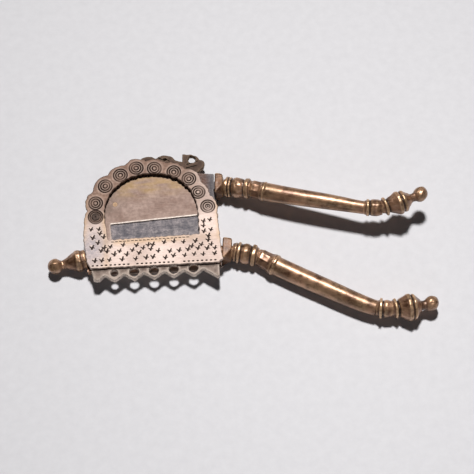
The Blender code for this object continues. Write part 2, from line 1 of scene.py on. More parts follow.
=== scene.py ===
"""Looks of the nutcracker: worn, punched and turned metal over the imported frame.

Shapes are drawn in millimetres in the jaw's own frame: the origin is on the pivot's
axis at the height of the surface that the tool lies on, X runs along the jaw towards
the handles, Y towards the arch of the guard, and Z is the thickness. The blade arm is
drawn closed and turned by REST_OPENING.
"""

import math

import bpy
import numpy as np
from mathutils import Matrix, Vector
from mathutils.geometry import delaunay_2d_cdt
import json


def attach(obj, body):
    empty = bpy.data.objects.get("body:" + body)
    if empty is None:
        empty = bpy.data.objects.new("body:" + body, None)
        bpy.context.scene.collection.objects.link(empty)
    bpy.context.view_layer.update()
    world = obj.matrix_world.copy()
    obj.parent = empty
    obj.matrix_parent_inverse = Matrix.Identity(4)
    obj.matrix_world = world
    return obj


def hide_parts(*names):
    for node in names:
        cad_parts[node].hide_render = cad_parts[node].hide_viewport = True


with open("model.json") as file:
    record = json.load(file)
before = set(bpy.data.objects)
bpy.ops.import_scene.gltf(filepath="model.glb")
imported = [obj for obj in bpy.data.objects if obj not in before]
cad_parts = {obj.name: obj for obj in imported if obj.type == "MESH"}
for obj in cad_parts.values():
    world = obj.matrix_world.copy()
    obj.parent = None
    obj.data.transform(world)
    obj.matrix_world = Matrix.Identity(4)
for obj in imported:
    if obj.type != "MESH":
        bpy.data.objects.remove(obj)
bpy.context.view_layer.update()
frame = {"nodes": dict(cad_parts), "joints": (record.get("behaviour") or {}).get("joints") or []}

MM = 0.001
GUARD, BLADE = "guard_arm", "blade_arm"
PIVOT = Vector(frame["joints"][0]["pos_m"]) * Vector((1.0, 1.0, 0.0))
REST_OPENING = math.radians(2.35)
GAP = 0.3

# Layers of the jaw, as (low, high)
BACK_PLATE = (0.0, 1.5)
FRONT_PLATE = (8.5, 10.0)
BACK_CHEEK = (2.6, 3.4)
BLADE_LAYER = (3.2, 6.8)
JAW_CREST_LAYER = (3.7, 6.3)
FRONT_CHEEK = (6.6, 7.4)
CREST = (6.2, 8.2)

# Guard plates
RING_CENTRES = np.array([
    (0.0, 0.0), (0.2, 6.8), (4.8, 15.0), (11.8, 20.0), (19.1, 23.1),
    (27.3, 22.3), (36.0, 19.8), (42.6, 15.9), (46.3, 8.9), (50.2, 1.6),
])
FIRST_LOBE_HEIGHT = 5.1
LOBE_HEIGHT = 4.8
LAST_LOBE_HEIGHT = 4.4
NOTCH_HEIGHT = 3.8
PLATE_FOOT_LEFT = -24.8
PLATE_FOOT_RIGHT = -25.9
PLATE_RIGHT = 54.6
PLATE_LEFT = -5.8
WINDOW_CENTRE = (24.7, -1.0)
WINDOW_HALF_WIDTH = 20.8
WINDOW_ARCH_HEIGHT = 21.0
WINDOW_BOTTOM = -11.5
ARCH_FULLNESS = 2.2
PLATE_RIVETS = [(0.4, -20.6), (17.0, -20.6), (34.0, -20.6), (50.5, -20.6)]
PLATE_RIVET_RADIUS = 1.2
PIN_RADIUS = 1.9

# Crest strip under the plates
ANVIL_BOTTOM = -24.2
CREST_TOP = -18.3
TOOTH_PITCH = 8.7
FIRST_TOOTH_X = 7.2
TOOTH_COUNT = 5
TOOTH_TIP = -30.9
TOOTH_VALLEY = -28.0
CREST_HOLE_Y = -27.15
CREST_HOLE_RADIUS = 2.1
FIRST_HOLE_RADIUS = 1.6

# Blade arm
CHEEK_CHORD = -3.35
CHEEK_OVERLAP = 4.5
CHEEK_STRIP_X = (1.2, 6.2)
CHEEK_STRIP_BOTTOM = -13.2
CUTTING_EDGE = -15.5
BLADE_LEFT = 1.4
BLADE_RIGHT = 52.5
BLADE_SETBACK = -1.0
LUG_TOP = 4.4
LUG_FOOT = (-2.5, -4.5)
WEB_START = 41.0
JAW_CREST_REACH = (10.5, 40.0)
BLADE_RIVETS = [(9.0, 6.4), (47.6, 2.2)]
CREST_RIVETS = [(25.0, 22.2), (38.4, 18.4)]
CHEEK_RIVET_RADIUS = 1.1
LOOP_EYE = (45.6, 25.7)
LOOP_EYE_RADIUS = 1.7
BUMP_SLOT_CENTRE = (33.3, 27.0)
BUMP_SLOT_HALF_SIZE = (1.0, 0.5)
HAIRLINE = 0.03
BURR_HEIGHT = 0.06

# Struck rings, bird-foot punch marks, dots and dashes on the guard plates
RING_RADII = (0.95, 2.05, 3.05)
PIVOT_RING_RADII = (2.45, 3.25)
RING_LINE = 0.72
RING_DEPTH = 0.2
BIRD_FOOT = [((-0.15, -0.8), (0.5, 0.9), 0.48), ((-0.3, -0.4), (-1.1, 0.3), 0.32),
             ((0.3, -0.2), (0.95, -0.3), 0.28)]
BIRD_FOOT_BURR = (-0.5, 0.65)
LIMB_MARKS = [(1.4, -5.9), (-2.0, -6.2), (1.6, -8.1), (-1.5, -9.7), (3.2, -9.8), (0.5, -12.2),
              (-1.9, -14.7), (47.8, -5.0), (50.9, -5.2), (47.6, -7.3), (47.9, -10.0),
              (50.8, -9.9), (49.7, -13.0)]
BAND_ROWS = [
    (-14.6, (3.5, 6.2, 11.9, 17.6, 22.6, 24.9, 29.9, 34.2, 38.4, 43.9, 49.3)),
    (-16.7, (1.9, 4.6, 10.0, 15.6, 20.6, 23.8, 42.1, 46.3, 50.6)),
    (-18.5, (7.8, 13.1, 18.8, 27.0, 32.1, 36.3, 40.3, 44.7, 48.7, 52.2)),
    (-21.3, (-0.9, 2.0, 5.5, 10.9, 16.9, 21.6, 24.7, 30.1, 33.7, 38.6, 42.8, 46.8, 51.7)),
]
DOT_PITCH = 1.95
DOT_HEIGHT = 1.25
DOT_GROUPS = [(-2.0, 14.5), (17.6, 33.6), (38.2, 53.2)]
DASH_PITCH = 1.75
DASH_LENGTH = 0.95
DASH_DROP = 1.25
DARK_DEPTH = 0.16
BIRD_FOOT_DEPTH = 0.22
DOT_DEPTH = 0.24
DASH_DEPTH = 0.15
LIP_HEIGHT = 0.06

# Handles: centre lines, the upper one drawn with the blade arm closed
UPPER_ROOT = Vector((55.2, 11.1, 5.0))
UPPER_COLLAR_ANGLE, UPPER_COLLAR_RISE = -7.0, 0.1
UPPER_FERRULE_ANGLE, UPPER_FERRULE_RISE = -17.3, 0.21
UPPER_LINE = [
    (77.1, 4.0, 9.0), (87.9, 0.0, 10.4), (100.7, -4.3, 11.5),
    (109.4, -7.2, 12.1), (114.6, -9.0, 12.4), (119.0, -10.4, 12.6),
]
UPPER_RADII = (4.2, 3.9, 3.6, 3.3, 3.05, 2.9)
UPPER_BEAD_END = Vector((126.3, -11.6, 13.0))
UPPER_BALL = Vector((144.8, -7.1, 14.2))
LOWER_ROOT = Vector((56.2, -18.6, 5.0))
LOWER_COLLAR_ANGLE, LOWER_COLLAR_RISE = -7.0, 0.0
LOWER_FERRULE_ANGLE, LOWER_FERRULE_RISE = -15.5, 0.0
LOWER_LINE = [
    (78.7, -27.6, 5.1), (88.6, -33.5, 5.3), (98.0, -38.9, 5.4),
    (107.8, -44.6, 5.6), (115.0, -48.6, 5.8), (120.0, -50.9, 5.9),
]
LOWER_RADII = (4.3, 4.2, 4.1, 3.9, 3.65, 3.4)
LOWER_BEAD_END = Vector((126.4, -52.0, 6.4))
LOWER_BALL = Vector((144.5, -50.3, 6.0))
SEAM_RING_LENGTH = 1.75
TANG_HALF_HEIGHT = 1.9
TANG_LENGTH = 7.0
TANG_SETBACK = 1.2
COLLAR_SIDE = 9.6
COLLAR_LENGTH = 3.2
COLLAR_CUTS = [(1.4, 0.5), (0.2, 0.9), (0.2, 0.9), (1.4, 0.5)]
FINIAL_ROOT = Vector((-5.3, -18.0, 5.0))
FINIAL_ANGLE = 190.0

# Fineness of the meshes
TURN_SIDES = 96
COLLAR_SIDES = 160
ROW_STEP = 0.14
COLLAR_ROW_STEP = 0.1
RIM_STEP = 0.3
FINE_CELL = 0.125
SPARSE = 4
SHARP_ANGLE = math.radians(55.0)


# ---------------------------------------------------------------- small maths

def ripple(points, wavelength, seed, waves=14):
    """Smooth noise of about -1 to 1 at (n, 2 or 3) points: a sum of plane waves."""
    random = np.random.default_rng(seed)
    total = np.zeros(len(points))
    for _ in range(waves):
        direction = random.normal(size=points.shape[1])
        direction /= np.linalg.norm(direction)
        length = wavelength * random.uniform(0.7, 1.6)
        total += np.sin(points @ direction * (2 * math.pi / length) + random.uniform(0, 6.3))
    return total / math.sqrt(waves)


def heading(angle_deg, rise=0.0):
    angle = math.radians(angle_deg)
    return Vector((math.cos(angle), math.sin(angle), rise)).normalized()


def arc_through(start, middle, end, steps):
    """Points on the circle through three points, from start up to but not including end."""
    (ax, ay), (bx, by), (cx, cy) = start, middle, end
    det = 2.0 * (ax * (by - cy) + bx * (cy - ay) + cx * (ay - by))
    squares = [x * x + y * y for x, y in (start, middle, end)]
    ux = (squares[0] * (by - cy) + squares[1] * (cy - ay) + squares[2] * (ay - by)) / det
    uy = (squares[0] * (cx - bx) + squares[1] * (ax - cx) + squares[2] * (bx - ax)) / det
    radius = math.hypot(ax - ux, ay - uy)
    first = math.atan2(ay - uy, ax - ux)
    sweep = (math.atan2(cy - uy, cx - ux) - first) % (2 * math.pi)
    through = (math.atan2(by - uy, bx - ux) - first) % (2 * math.pi)
    if through > sweep:
        sweep -= 2 * math.pi
    angles = [first + sweep * i / steps for i in range(steps)]
    return [(ux + radius * math.cos(a), uy + radius * math.sin(a)) for a in angles]


def circle(x, y, radius, steps=48):
    turns = [2 * math.pi * i / steps for i in range(steps)]
    return np.array([(x + radius * math.cos(a), y + radius * math.sin(a)) for a in turns])


def round_holes(places, radius):
    """Holes that a pin or rivets of a radius fill, with the thinnest of gaps."""
    return [circle(x, y, radius + HAIRLINE) for x, y in places]


def resample(loop, step=RIM_STEP):
    """The same closed loop with points no further apart than a step."""
    points = []
    for (ax, ay), (bx, by) in zip(loop, loop[1:] + loop[:1]):
        count = max(1, math.ceil(math.hypot(bx - ax, by - ay) / step))
        points += [(ax + (bx - ax) * i / count, ay + (by - ay) * i / count)
                   for i in range(count)]
    return np.array(points)


def soften(loop, reach):
    """Closed loop with its corners rounded by averaging over neighbours."""
    for _ in range(reach):
        loop = (np.roll(loop, 1, axis=0) + 2 * loop + np.roll(loop, -1, axis=0)) / 4
    return loop


def edge_normals(loop):
    along = np.roll(loop, -1, axis=0) - np.roll(loop, 1, axis=0)
    across = np.stack([-along[:, 1], along[:, 0]], axis=1)
    return across / (np.linalg.norm(across, axis=1)[:, None] + 1e-9)


def wander(loop, amount, wavelength, seed):
    """Closed loop pushed in and out a little, as a hand-cut edge is."""
    return loop + edge_normals(loop) * (ripple(loop, wavelength, seed) * amount)[:, None]


def cut_edge(outline, amount=0.0, wavelength=1.0, seed=0):
    """Outline as finely spaced points with eased corners, filed a little unevenly."""
    edge = soften(resample(outline), 2)
    return wander(edge, amount, wavelength, seed) if amount else edge


def depth_inside(points, loops):
    """Distance of each point to the nearest edge, positive on the material."""
    nearest = np.full(len(points), 1e9)
    inside = np.zeros(len(points), bool)
    px, py = points[:, 0], points[:, 1]
    for loop in loops:
        for (ax, ay), (bx, by) in zip(loop, np.roll(loop, -1, axis=0)):
            dx, dy = bx - ax, by - ay
            t = np.clip(((px - ax) * dx + (py - ay) * dy) / (dx * dx + dy * dy + 1e-12), 0, 1)
            gap = (px - ax - t * dx) ** 2 + (py - ay - t * dy) ** 2
            np.minimum(nearest, gap, out=nearest)
            if ay != by:
                crosses = (ay > py) != (by > py)
                inside ^= crosses & (px < ax + (py - ay) * dx / dy)
    return np.where(inside, 1, -1) * np.sqrt(nearest)


PIN_HOLE = round_holes([(0.0, 0.0)], PIN_RADIUS)


# ---------------------------------------------------------------- outlines

def outward_points():
    """Lobe tops over the ring centres and the notches halfway between them."""
    centres = [Vector(c) for c in RING_CENTRES]
    line = [centres[0] + Vector((0.0, -7.0)), *centres, centres[-1] + Vector((1.6, -7.0))]
    heights = [FIRST_LOBE_HEIGHT] + [LOBE_HEIGHT] * (len(centres) - 2) + [LAST_LOBE_HEIGHT]
    tops, notches = [], []
    for before, here, after, height in zip(line, line[1:], line[2:], heights):
        along = (after - before).normalized()
        tops.append(here + Vector((-along.y, along.x)) * height)
    for here, after in zip(line, line[1:]):
        along = (after - here).normalized()
        notches.append((here + after) / 2 + Vector((-along.y, along.x)) * NOTCH_HEIGHT)
    notches[0].x = PLATE_LEFT + 0.5
    notches[-1].x = PLATE_RIGHT - 0.4
    return tops, notches


def plate_outline():
    tops, notches = outward_points()
    outline = []
    for top, left, right in zip(tops, notches, notches[1:]):
        outline += arc_through(tuple(left), tuple(top), tuple(right), 20)
    outline.append(tuple(notches[-1]))
    outline += [(PLATE_RIGHT, -12.0), (PLATE_RIGHT + 0.3, -21.6), (PLATE_RIGHT + 0.8, -24.4)]
    outline += [(PLATE_RIGHT - 1.4, PLATE_FOOT_RIGHT), (PLATE_LEFT + 2.6, PLATE_FOOT_LEFT)]
    outline += [(PLATE_LEFT + 1.3, -21.6), (PLATE_LEFT + 0.6, -17.0), (PLATE_LEFT + 0.1, -13.0)]
    outline.append((PLATE_LEFT, -8.0))
    return outline


def foot_line(x):
    """Height of the plate's sloping lower edge."""
    share = (x - PLATE_LEFT - 2.6) / (PLATE_RIGHT - PLATE_LEFT - 4.0)
    return PLATE_FOOT_LEFT + (PLATE_FOOT_RIGHT - PLATE_FOOT_LEFT) * share


def window_arch(margin, steps=90):
    """The window's rounded arch from its left foot to its right foot, grown by a margin."""
    points = []
    for i in range(steps + 1):
        turn = math.pi - math.pi * i / steps
        c, s = math.cos(turn), math.sin(turn)
        x = math.copysign(abs(c) ** (2 / ARCH_FULLNESS), c) * (WINDOW_HALF_WIDTH + margin)
        y = abs(s) ** (2 / ARCH_FULLNESS) * (WINDOW_ARCH_HEIGHT + margin)
        points.append((WINDOW_CENTRE[0] + x, WINDOW_CENTRE[1] + y))
    return points


def window_outline():
    left = WINDOW_CENTRE[0] - WINDOW_HALF_WIDTH
    right = WINDOW_CENTRE[0] + WINDOW_HALF_WIDTH
    return window_arch(0.0) + [(right, WINDOW_BOTTOM), (left + 1.4, WINDOW_BOTTOM)]


def crest_outline():
    left_foot = FIRST_TOOTH_X - TOOTH_PITCH / 2
    shoulder = ANVIL_BOTTOM - GAP
    points = [(-2.6, CREST_TOP), (-2.6, shoulder), (-3.0, shoulder), (-2.0, -29.9), (0.5, -30.3)]
    for i in range(TOOTH_COUNT):
        points.append((left_foot + TOOTH_PITCH * i, TOOTH_VALLEY))
        points.append((FIRST_TOOTH_X + TOOTH_PITCH * i, TOOTH_TIP))
    points.append((left_foot + TOOTH_PITCH * TOOTH_COUNT, TOOTH_VALLEY))
    return points + [(52.4, -32.2), (53.4, -31.6), (53.6, shoulder), (52.3, shoulder),
                     (52.3, CREST_TOP)]


def pivot_lug():
    return arc_through((-3.9, -2.0), (-3.9, 2.0), (0.0, LUG_TOP), 16)


def cheek_outline():
    """Half moon under the arch, with a strip down its left side beside the blade."""
    arch = window_arch(CHEEK_OVERLAP)
    inner, outer = CHEEK_STRIP_X[1], arch[-1][0]
    foot = [(outer, CHEEK_CHORD), (inner, CHEEK_CHORD), (inner, CHEEK_STRIP_BOTTOM)]
    foot += [(CHEEK_STRIP_X[0], CHEEK_STRIP_BOTTOM), LUG_FOOT]
    kept = [p for p in arch if p[1] > LUG_TOP or p[0] > WINDOW_CENTRE[0]]
    return pivot_lug() + kept + foot


def tang_corners():
    along = heading(UPPER_COLLAR_ANGLE).to_2d()
    across = Vector((-along.y, along.x)) * TANG_HALF_HEIGHT
    start = UPPER_ROOT.to_2d() - along * TANG_SETBACK
    far = start + along * TANG_LENGTH
    return [tuple(start + across), tuple(far + across), tuple(far - across),
            tuple(start - across)]


def blade_outline():
    """Steel plate: lug round the pivot, straight cutting edge, web and tang."""
    spine = [p for p in window_arch(BLADE_SETBACK) if p[1] > LUG_TOP and p[0] < WEB_START]
    foot = [(53.9, 4.2), (BLADE_RIGHT, -5.0), (BLADE_RIGHT, CUTTING_EDGE),
            (BLADE_LEFT, CUTTING_EDGE), LUG_FOOT]
    return pivot_lug() + spine + [(47.2, 18.2), (54.8, 16.9)] + tang_corners() + foot


def jaw_crest_outline():
    """Brass strip on the blade's back, with low bumps and the loop at its right end."""
    left, right = JAW_CREST_REACH
    under = [p for p in window_arch(BLADE_SETBACK + GAP) if left < p[0] < right]
    under.append((40.6, 13.7))
    top = [(12.0, 21.4), (17.0, 24.6), (20.8, 26.6)]
    top += arc_through((20.8, 26.6), (25.4, 29.5), (29.2, 28.0), 16)[1:]
    top += arc_through((29.2, 28.0), (33.4, 29.2), (38.1, 26.3), 16)
    loop = [(38.1, 26.3), (41.2, 25.0), (41.5, 28.9), (45.5, 28.2), (48.2, 27.0)]
    loop += [(49.2, 25.1), (50.6, 24.7), (51.3, 23.2), (50.7, 21.2), (47.6, 18.7), (46.6, 18.6)]
    return top + loop + list(reversed(under))


# ---------------------------------------------------------------- meshes

def add_object(name, data):
    thing = bpy.data.objects.new(name, data)
    bpy.context.scene.collection.objects.link(thing)
    return thing


def add_piece(name, points, faces, look, body, node, marks, turn=0.0):
    """Mesh object from millimetre points in the jaw's frame, standing for a CAD node."""
    place = Matrix.Translation(PIVOT) @ Matrix.Rotation(turn, 4, "Z") @ Matrix.Scale(MM, 4)
    mesh = bpy.data.meshes.new(name)
    mesh.from_pydata(np.asarray(points, float).tolist(), [], faces)
    mesh.transform(place)
    for label, values in marks.items():
        layer = mesh.attributes.new(label, "FLOAT", "POINT")
        layer.data.foreach_set("value", np.asarray(values, np.float32))
    mesh.shade_smooth()
    mesh.set_sharp_from_angle(angle=SHARP_ANGLE)
    mesh.materials.append(MATERIALS[look])
    piece = add_object(name, mesh)
    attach(piece, body)
    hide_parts(node)
    return piece


def face_net(loops, inner):
    """Triangulates the area between closed loops through extra inner points."""
    flat = np.concatenate([*loops, inner]) if len(inner) else np.concatenate(loops)
    edges, start = [], 0
    for loop in loops:
        count = len(loop)
        edges += [(start + i, start + (i + 1) % count) for i in range(count)]
        start += count
    places, _, triangles, origins, _, _ = delaunay_2d_cdt(
        [Vector(p) for p in flat.tolist()], edges, [], 1, 1e-6)
    back = np.array([o[0] if o else -1 for o in origins])
    corners = back[np.array([list(t) for t in triangles])]
    bridging = np.flatnonzero((corners < start).all(axis=1))
    middles = flat[corners[bridging]].mean(axis=1)
    corners = np.delete(corners, bridging[depth_inside(middles, loops) <= 0.0], axis=0)
    a, b, c = (flat[corners[:, i]] for i in range(3))
    area = (b[:, 0] - a[:, 0]) * (c[:, 1] - a[:, 1]) - (b[:, 1] - a[:, 1]) * (c[:, 0] - a[:, 0])
    corners = corners[np.abs(area) > 1e-9]
    area = area[np.abs(area) > 1e-9]
    corners[area < 0] = corners[area < 0][:, ::-1]
    return flat, corners


def rim_rows(loops, offsets):
    """Points at set distances inside the loops, left out where the loops come close."""
    rows = []
    for offset in offsets:
        for loop in loops:
            across = edge_normals(loop)
            for side in (-1, 1):
                rows.append((loop + across * side * offset, offset))
    kept = []
    for points, offset in rows:
        depth = depth_inside(points, loops)
        kept.append(points[(depth > offset * 0.9) & (depth < offset * 1.1)])
    return np.concatenate(kept)


def inner_points(loops, cell, relief, clear):
    """Staggered grid inside the loops: fine where the relief changes, sparse elsewhere."""
    low, high = loops[0].min(0), loops[0].max(0)
    columns = np.arange(low[0], high[0], cell)
    rows = np.arange(low[1], high[1], cell * 0.87)
    x, y = np.meshgrid(columns, rows)
    x = x + (np.arange(len(rows)) % 2 * cell / 2)[:, None]
    points = np.stack([x.ravel(), y.ravel()], axis=1)
    sparse = (np.arange(len(rows))[:, None] % SPARSE == 0) & (
        np.arange(len(columns))[None, :] % SPARSE == 0)
    wanted = sparse
    if relief is not None:
        height = relief(points).reshape(x.shape)
        slope = np.hypot(*np.gradient(height)) > 0.012
        near = slope.copy()
        for shift in (-1, 1):
            near |= np.roll(slope, shift, axis=0) | np.roll(slope, shift, axis=1)
        wanted = sparse | near
    points = points[wanted.ravel()]
    return points[depth_inside(points, loops) > clear]


def rounding(depth, rim):
    """How far the face falls below its flat at a depth from the edge."""
    inside = np.clip(depth, 0.0, rim)
    return rim - np.sqrt(np.maximum(rim * rim - (rim - inside) ** 2, 0.0))


def sheet(name, loops, layer, look, body, node, rim=0.35, cell=FINE_CELL * 2,
          front=None, back=None, plain=(), tints=None, turn=0.0, bend=None):
    """Solid sheet between two heights, with a relief cut into its faces.

    The loops get rounded rims; the plain holes, which a pin fills, stay sharp.
    """
    low, high = layer
    offsets = [rim * share for share in (0.12, 0.4, 0.8, 1.3)]
    points, faces, marks = [], [], {"hollow": [], "worn": []}
    borders = []
    every = [*loops, *plain]
    count = sum(len(loop) for loop in loops)
    for top, relief in ((True, front), (False, back)):
        inner = np.concatenate([rim_rows(loops, offsets),
                                inner_points(loops, cell, relief, rim * 1.3 + cell / 2)])
        if plain:
            inner = inner[depth_inside(inner, every) > min(rim * 0.1, 0.04)]
        flat, corners = face_net(every, inner)
        depth = np.maximum(depth_inside(flat, loops), 0.0)
        depth[:count] = 0.0
        cutting = relief(flat) if relief is not None else np.zeros(len(flat))
        fade = np.clip(depth / (rim * 0.8), 0.0, 1.0)
        sway = ripple(flat, 9.0, 5) * 0.035 + ripple(flat, 2.6, 6) * 0.012
        height = rounding(depth, rim) + cutting * fade + sway * fade
        z = high - height if top else low + np.maximum(height, 0.0)
        start = sum(len(p) for p in points)
        borders.append(start)
        points.append(np.column_stack([flat, z]))
        ordered = corners if top else corners[:, ::-1]
        faces += (ordered + start).tolist()
        marks["hollow"].append(np.clip(cutting / DARK_DEPTH, 0.0, 1.0))
        # Rims and raised burrs and lips get the wear mark, which lightens them: real wear mixed
        # with painted highlights.
        burr = np.clip(-cutting / BURR_HEIGHT, 0.0, 1.0)
        tinted = tints(flat) if tints is not None else {}
        rubbed_and_lit = np.exp(-depth / (rim * 1.1)) * tinted.pop("edge", 1.0)
        marks["worn"].append(np.clip(rubbed_and_lit + burr, 0.0, 1.0))
        for label, values in tinted.items():
            marks.setdefault(label, []).append(values)
    faces += wall_faces(every, borders[0], borders[1])
    points = np.concatenate(points)
    if bend is not None:
        points = bend(points)
    marks = {label: np.concatenate(values) for label, values in marks.items()}
    return add_piece(name, points, faces, look, body, node, marks, turn)


def wall_faces(loops, top_start, bottom_start):
    """Quads that join the rims of the two faces, turned to look outwards."""
    quads, at = [], 0
    for index, loop in enumerate(loops):
        count = len(loop)
        x, y = loop[:, 0], loop[:, 1]
        turns_left = np.sum(x * np.roll(y, -1) - np.roll(x, -1) * y) > 0
        outward = turns_left if index == 0 else not turns_left
        for i in range(count):
            a, b = at + i, at + (i + 1) % count
            quad = (top_start + a, bottom_start + a, bottom_start + b, top_start + b)
            quads.append(quad if outward else quad[::-1])
        at += count
    return quads


def smooth_profile(knots, step=ROW_STEP, reach=2):
    """Even rows along a (distance, radius) line, its corners eased, its two ends kept."""
    line = np.array(knots, float)
    gaps = np.hypot(*np.diff(line, axis=0).T)
    travel = np.concatenate([[0.0], np.cumsum(gaps)])
    even = np.linspace(0.0, travel[-1], max(8, int(travel[-1] / step)))
    rows = np.stack([np.interp(even, travel, line[:, i]) for i in range(2)], axis=1)
    for _ in range(reach):
        rows[1:-1] = (rows[:-2] + 2 * rows[1:-1] + rows[2:]) / 4
    return rows


def facets(theta, sides, share, phase=0.0):
    """Radius factor that flattens a round section towards a polygon."""
    sector = 2 * math.pi / sides
    local = np.mod(theta - phase, sector) - sector / 2
    return (1 - share) + share * math.cos(sector / 2) / np.cos(local)


def blurred(values, reach):
    """Running average that keeps the ends."""
    padded = np.pad(values, reach, mode="edge")
    kernel = np.ones(2 * reach + 1) / (2 * reach + 1)
    return np.convolve(padded, kernel, mode="valid")


def swept(name, centres, ways, radii, look, body, node, shape=None, dents=0.03, seed=1,
          turn=0.0, marks=None, sides=TURN_SIDES, upright=(0.0, 0.0, 1.0)):
    """Closed body of rings round a centre line; shape(theta, row) scales each radius."""
    rows = len(radii)
    theta = np.linspace(0.0, 2 * math.pi, sides, endpoint=False)
    side = np.cross(np.array(upright), ways)
    side /= np.linalg.norm(side, axis=1)[:, None]
    top = np.cross(ways, side)
    scale = np.ones((rows, sides)) if shape is None else shape(theta[None, :],
                                                               np.arange(rows)[:, None])
    reach = radii[:, None] * scale
    around = side[:, None, :] * np.cos(theta)[None, :, None] \
        + top[:, None, :] * np.sin(theta)[None, :, None]
    points = centres[:, None, :] + around * reach[:, :, None]
    flat = points.reshape(-1, 3)
    swell = ripple(flat, 3.2, seed) * dents + ripple(flat, 1.1, seed + 50) * dents * 0.3
    held = np.clip(reach / 0.6, 0.0, 1.0).reshape(-1)
    flat = flat + around.reshape(-1, 3) * (swell * held)[:, None]
    index = np.arange(rows * sides).reshape(rows, sides)
    after = np.roll(index, -1, axis=1)
    quads = np.stack([index[:-1], after[:-1], after[1:], index[1:]], axis=-1).reshape(-1, 4)
    faces = quads.tolist()
    faces.append(index[0][::-1].tolist())
    faces.append(index[-1].tolist())
    # Ridges of the profile are lightened as wear and painted highlight; hollows are darkened as
    # dirt.
    ridge = radii - blurred(radii, max(2, int(1.0 / ROW_STEP)))
    hollow = np.clip(-ridge / 0.22, 0.0, 1.0)
    worn = np.clip(ridge / 0.22, 0.0, 1.0)
    values = {"hollow": np.repeat(hollow, sides), "worn": np.repeat(worn, sides)}
    if marks is not None:
        values = marks(theta, values, rows, sides)
    return add_piece(name, flat, faces, look, body, node, values, turn)


def straight(start, way, rows):
    """Centres and directions of rings at the rows' distances along a straight line."""
    way = np.array(way)[None, :]
    return np.array(start)[None, :] + rows[:, :1] * way, np.repeat(way, len(rows), axis=0)


def turned(name, start, way, knots, look, body, node, sides_rule=None, bow=0.0, **more):
    """Swept body along a line from a (distance, radius) profile; bow bends it towards -Y."""
    rows = smooth_profile(knots)
    rows[0, 1] = rows[-1, 1] = 0.02
    centres, ways = straight(start, way, rows)
    share = np.clip(rows[:, 0] / rows[:, 0].max(), 0.0, 1.0)
    centres[:, 1] -= bow * 4 * share * (1 - share)
    shape = None
    if sides_rule is not None:
        def shape(theta, row):
            return sides_rule(theta, rows[:, 0][row])
    return swept(name, centres, ways, rows[:, 1], look, body, node, shape=shape, **more)


# ---------------------------------------------------------------- cut decoration

def groove(gap, half_width, depth):
    """Round-bottomed cut with a slight burr along both of its edges."""
    inside = np.clip(1.0 - (gap / half_width) ** 2, 0.0, 1.0)
    burr = np.exp(-((gap - half_width * 1.35) / (half_width * 0.45)) ** 2)
    return depth * inside - 0.14 * depth * burr * (gap > half_width)


def ring_stamps(points):
    """Three rings and a boss at each ring centre, struck a little unevenly."""
    cut = np.zeros(len(points))
    for i, centre in enumerate(RING_CENTRES):
        offset = points - centre
        radius = np.hypot(offset[:, 0], offset[:, 1])
        near = radius < RING_RADII[-1] + 1.0
        angle = np.arctan2(offset[near, 1], offset[near, 0])
        uneven = 0.72 + 0.28 * np.sin(angle + 2.1 * i) + 0.1 * np.sin(3 * angle + i)
        local = np.zeros(near.sum())
        for ring in PIVOT_RING_RADII if i == 0 else RING_RADII:
            wobble = radius[near] + 0.04 * np.sin(2 * angle + i * 1.3)
            local += groove(np.abs(wobble - ring), RING_LINE / 2, RING_DEPTH) * uneven
        if i == len(RING_CENTRES) - 1:
            local += groove(radius[near], 0.55, RING_DEPTH)
        cut[near] += local
    return cut


def stroke_cuts(points, strokes, depth, taper=0.4):
    """Cuts along short straight strokes, each (start, end, half width)."""
    cut = np.zeros(len(points))
    for (ax, ay), (bx, by), half_width in strokes:
        dx, dy = bx - ax, by - ay
        reach = math.hypot(dx, dy) / 2 + 3 * half_width
        near = np.hypot(points[:, 0] - (ax + bx) / 2, points[:, 1] - (ay + by) / 2) < reach
        x, y = points[near, 0] - ax, points[near, 1] - ay
        t = np.clip((x * dx + y * dy) / (dx * dx + dy * dy), 0.0, 1.0)
        gap = np.hypot(x - t * dx, y - t * dy)
        new = groove(gap, half_width * (1.0 - taper * t), depth)
        cut[near] = np.where(np.abs(cut[near]) > np.abs(new), cut[near], new)
    return cut


def bird_feet():
    """Strokes of the bird-foot punch marks, struck a little unevenly."""
    random = np.random.default_rng(11)
    places = list(LIMB_MARKS)
    for height, row in BAND_ROWS:
        places += [(x, height) for x in row]
    strokes, burrs = [], []
    for x, y in places:
        x, y = x + random.uniform(-0.15, 0.15), y + random.uniform(-0.45, 0.45)
        turn = random.uniform(-0.2, 0.2)
        size = random.uniform(0.88, 1.08)
        c, s = math.cos(turn) * size, math.sin(turn) * size

        def place(px, py):
            return (x + c * px - s * py, y + s * px + c * py)

        for start, end, half_width in BIRD_FOOT:
            strokes.append((place(*start), place(*end), half_width * size))
        burrs.append(place(*BIRD_FOOT_BURR))
    return strokes, np.array(burrs)


def edge_dots():
    """Dot row along the lower edge; it skips two worn stretches."""
    dots = []
    for first, last in DOT_GROUPS:
        for x in np.arange(first, last, DOT_PITCH):
            y = foot_line(x) + DOT_HEIGHT
            dots.append(((x - 0.2, y), (x + 0.2, y), 0.34))
    return dots


def window_dashes():
    xs = np.arange(WINDOW_CENTRE[0] - 18.0, WINDOW_CENTRE[0] + 16.0, DASH_PITCH)
    y = WINDOW_BOTTOM - DASH_DROP
    return [((x, y), (x + DASH_LENGTH, y - 0.05), 0.24) for x in xs]


def punched_burrs(points):
    """Metal thrown up in the fork of each bird foot, painted light as a highlight."""
    raised = np.zeros(len(points))
    for x, y in BIRD_BURRS:
        near = np.abs(points[:, 0] - x) + np.abs(points[:, 1] - y) < 1.6
        gap = np.hypot(points[near, 0] - x, points[near, 1] - y)
        raised[near] = np.maximum(raised[near], np.exp(-(gap / 0.42) ** 2))
    return raised


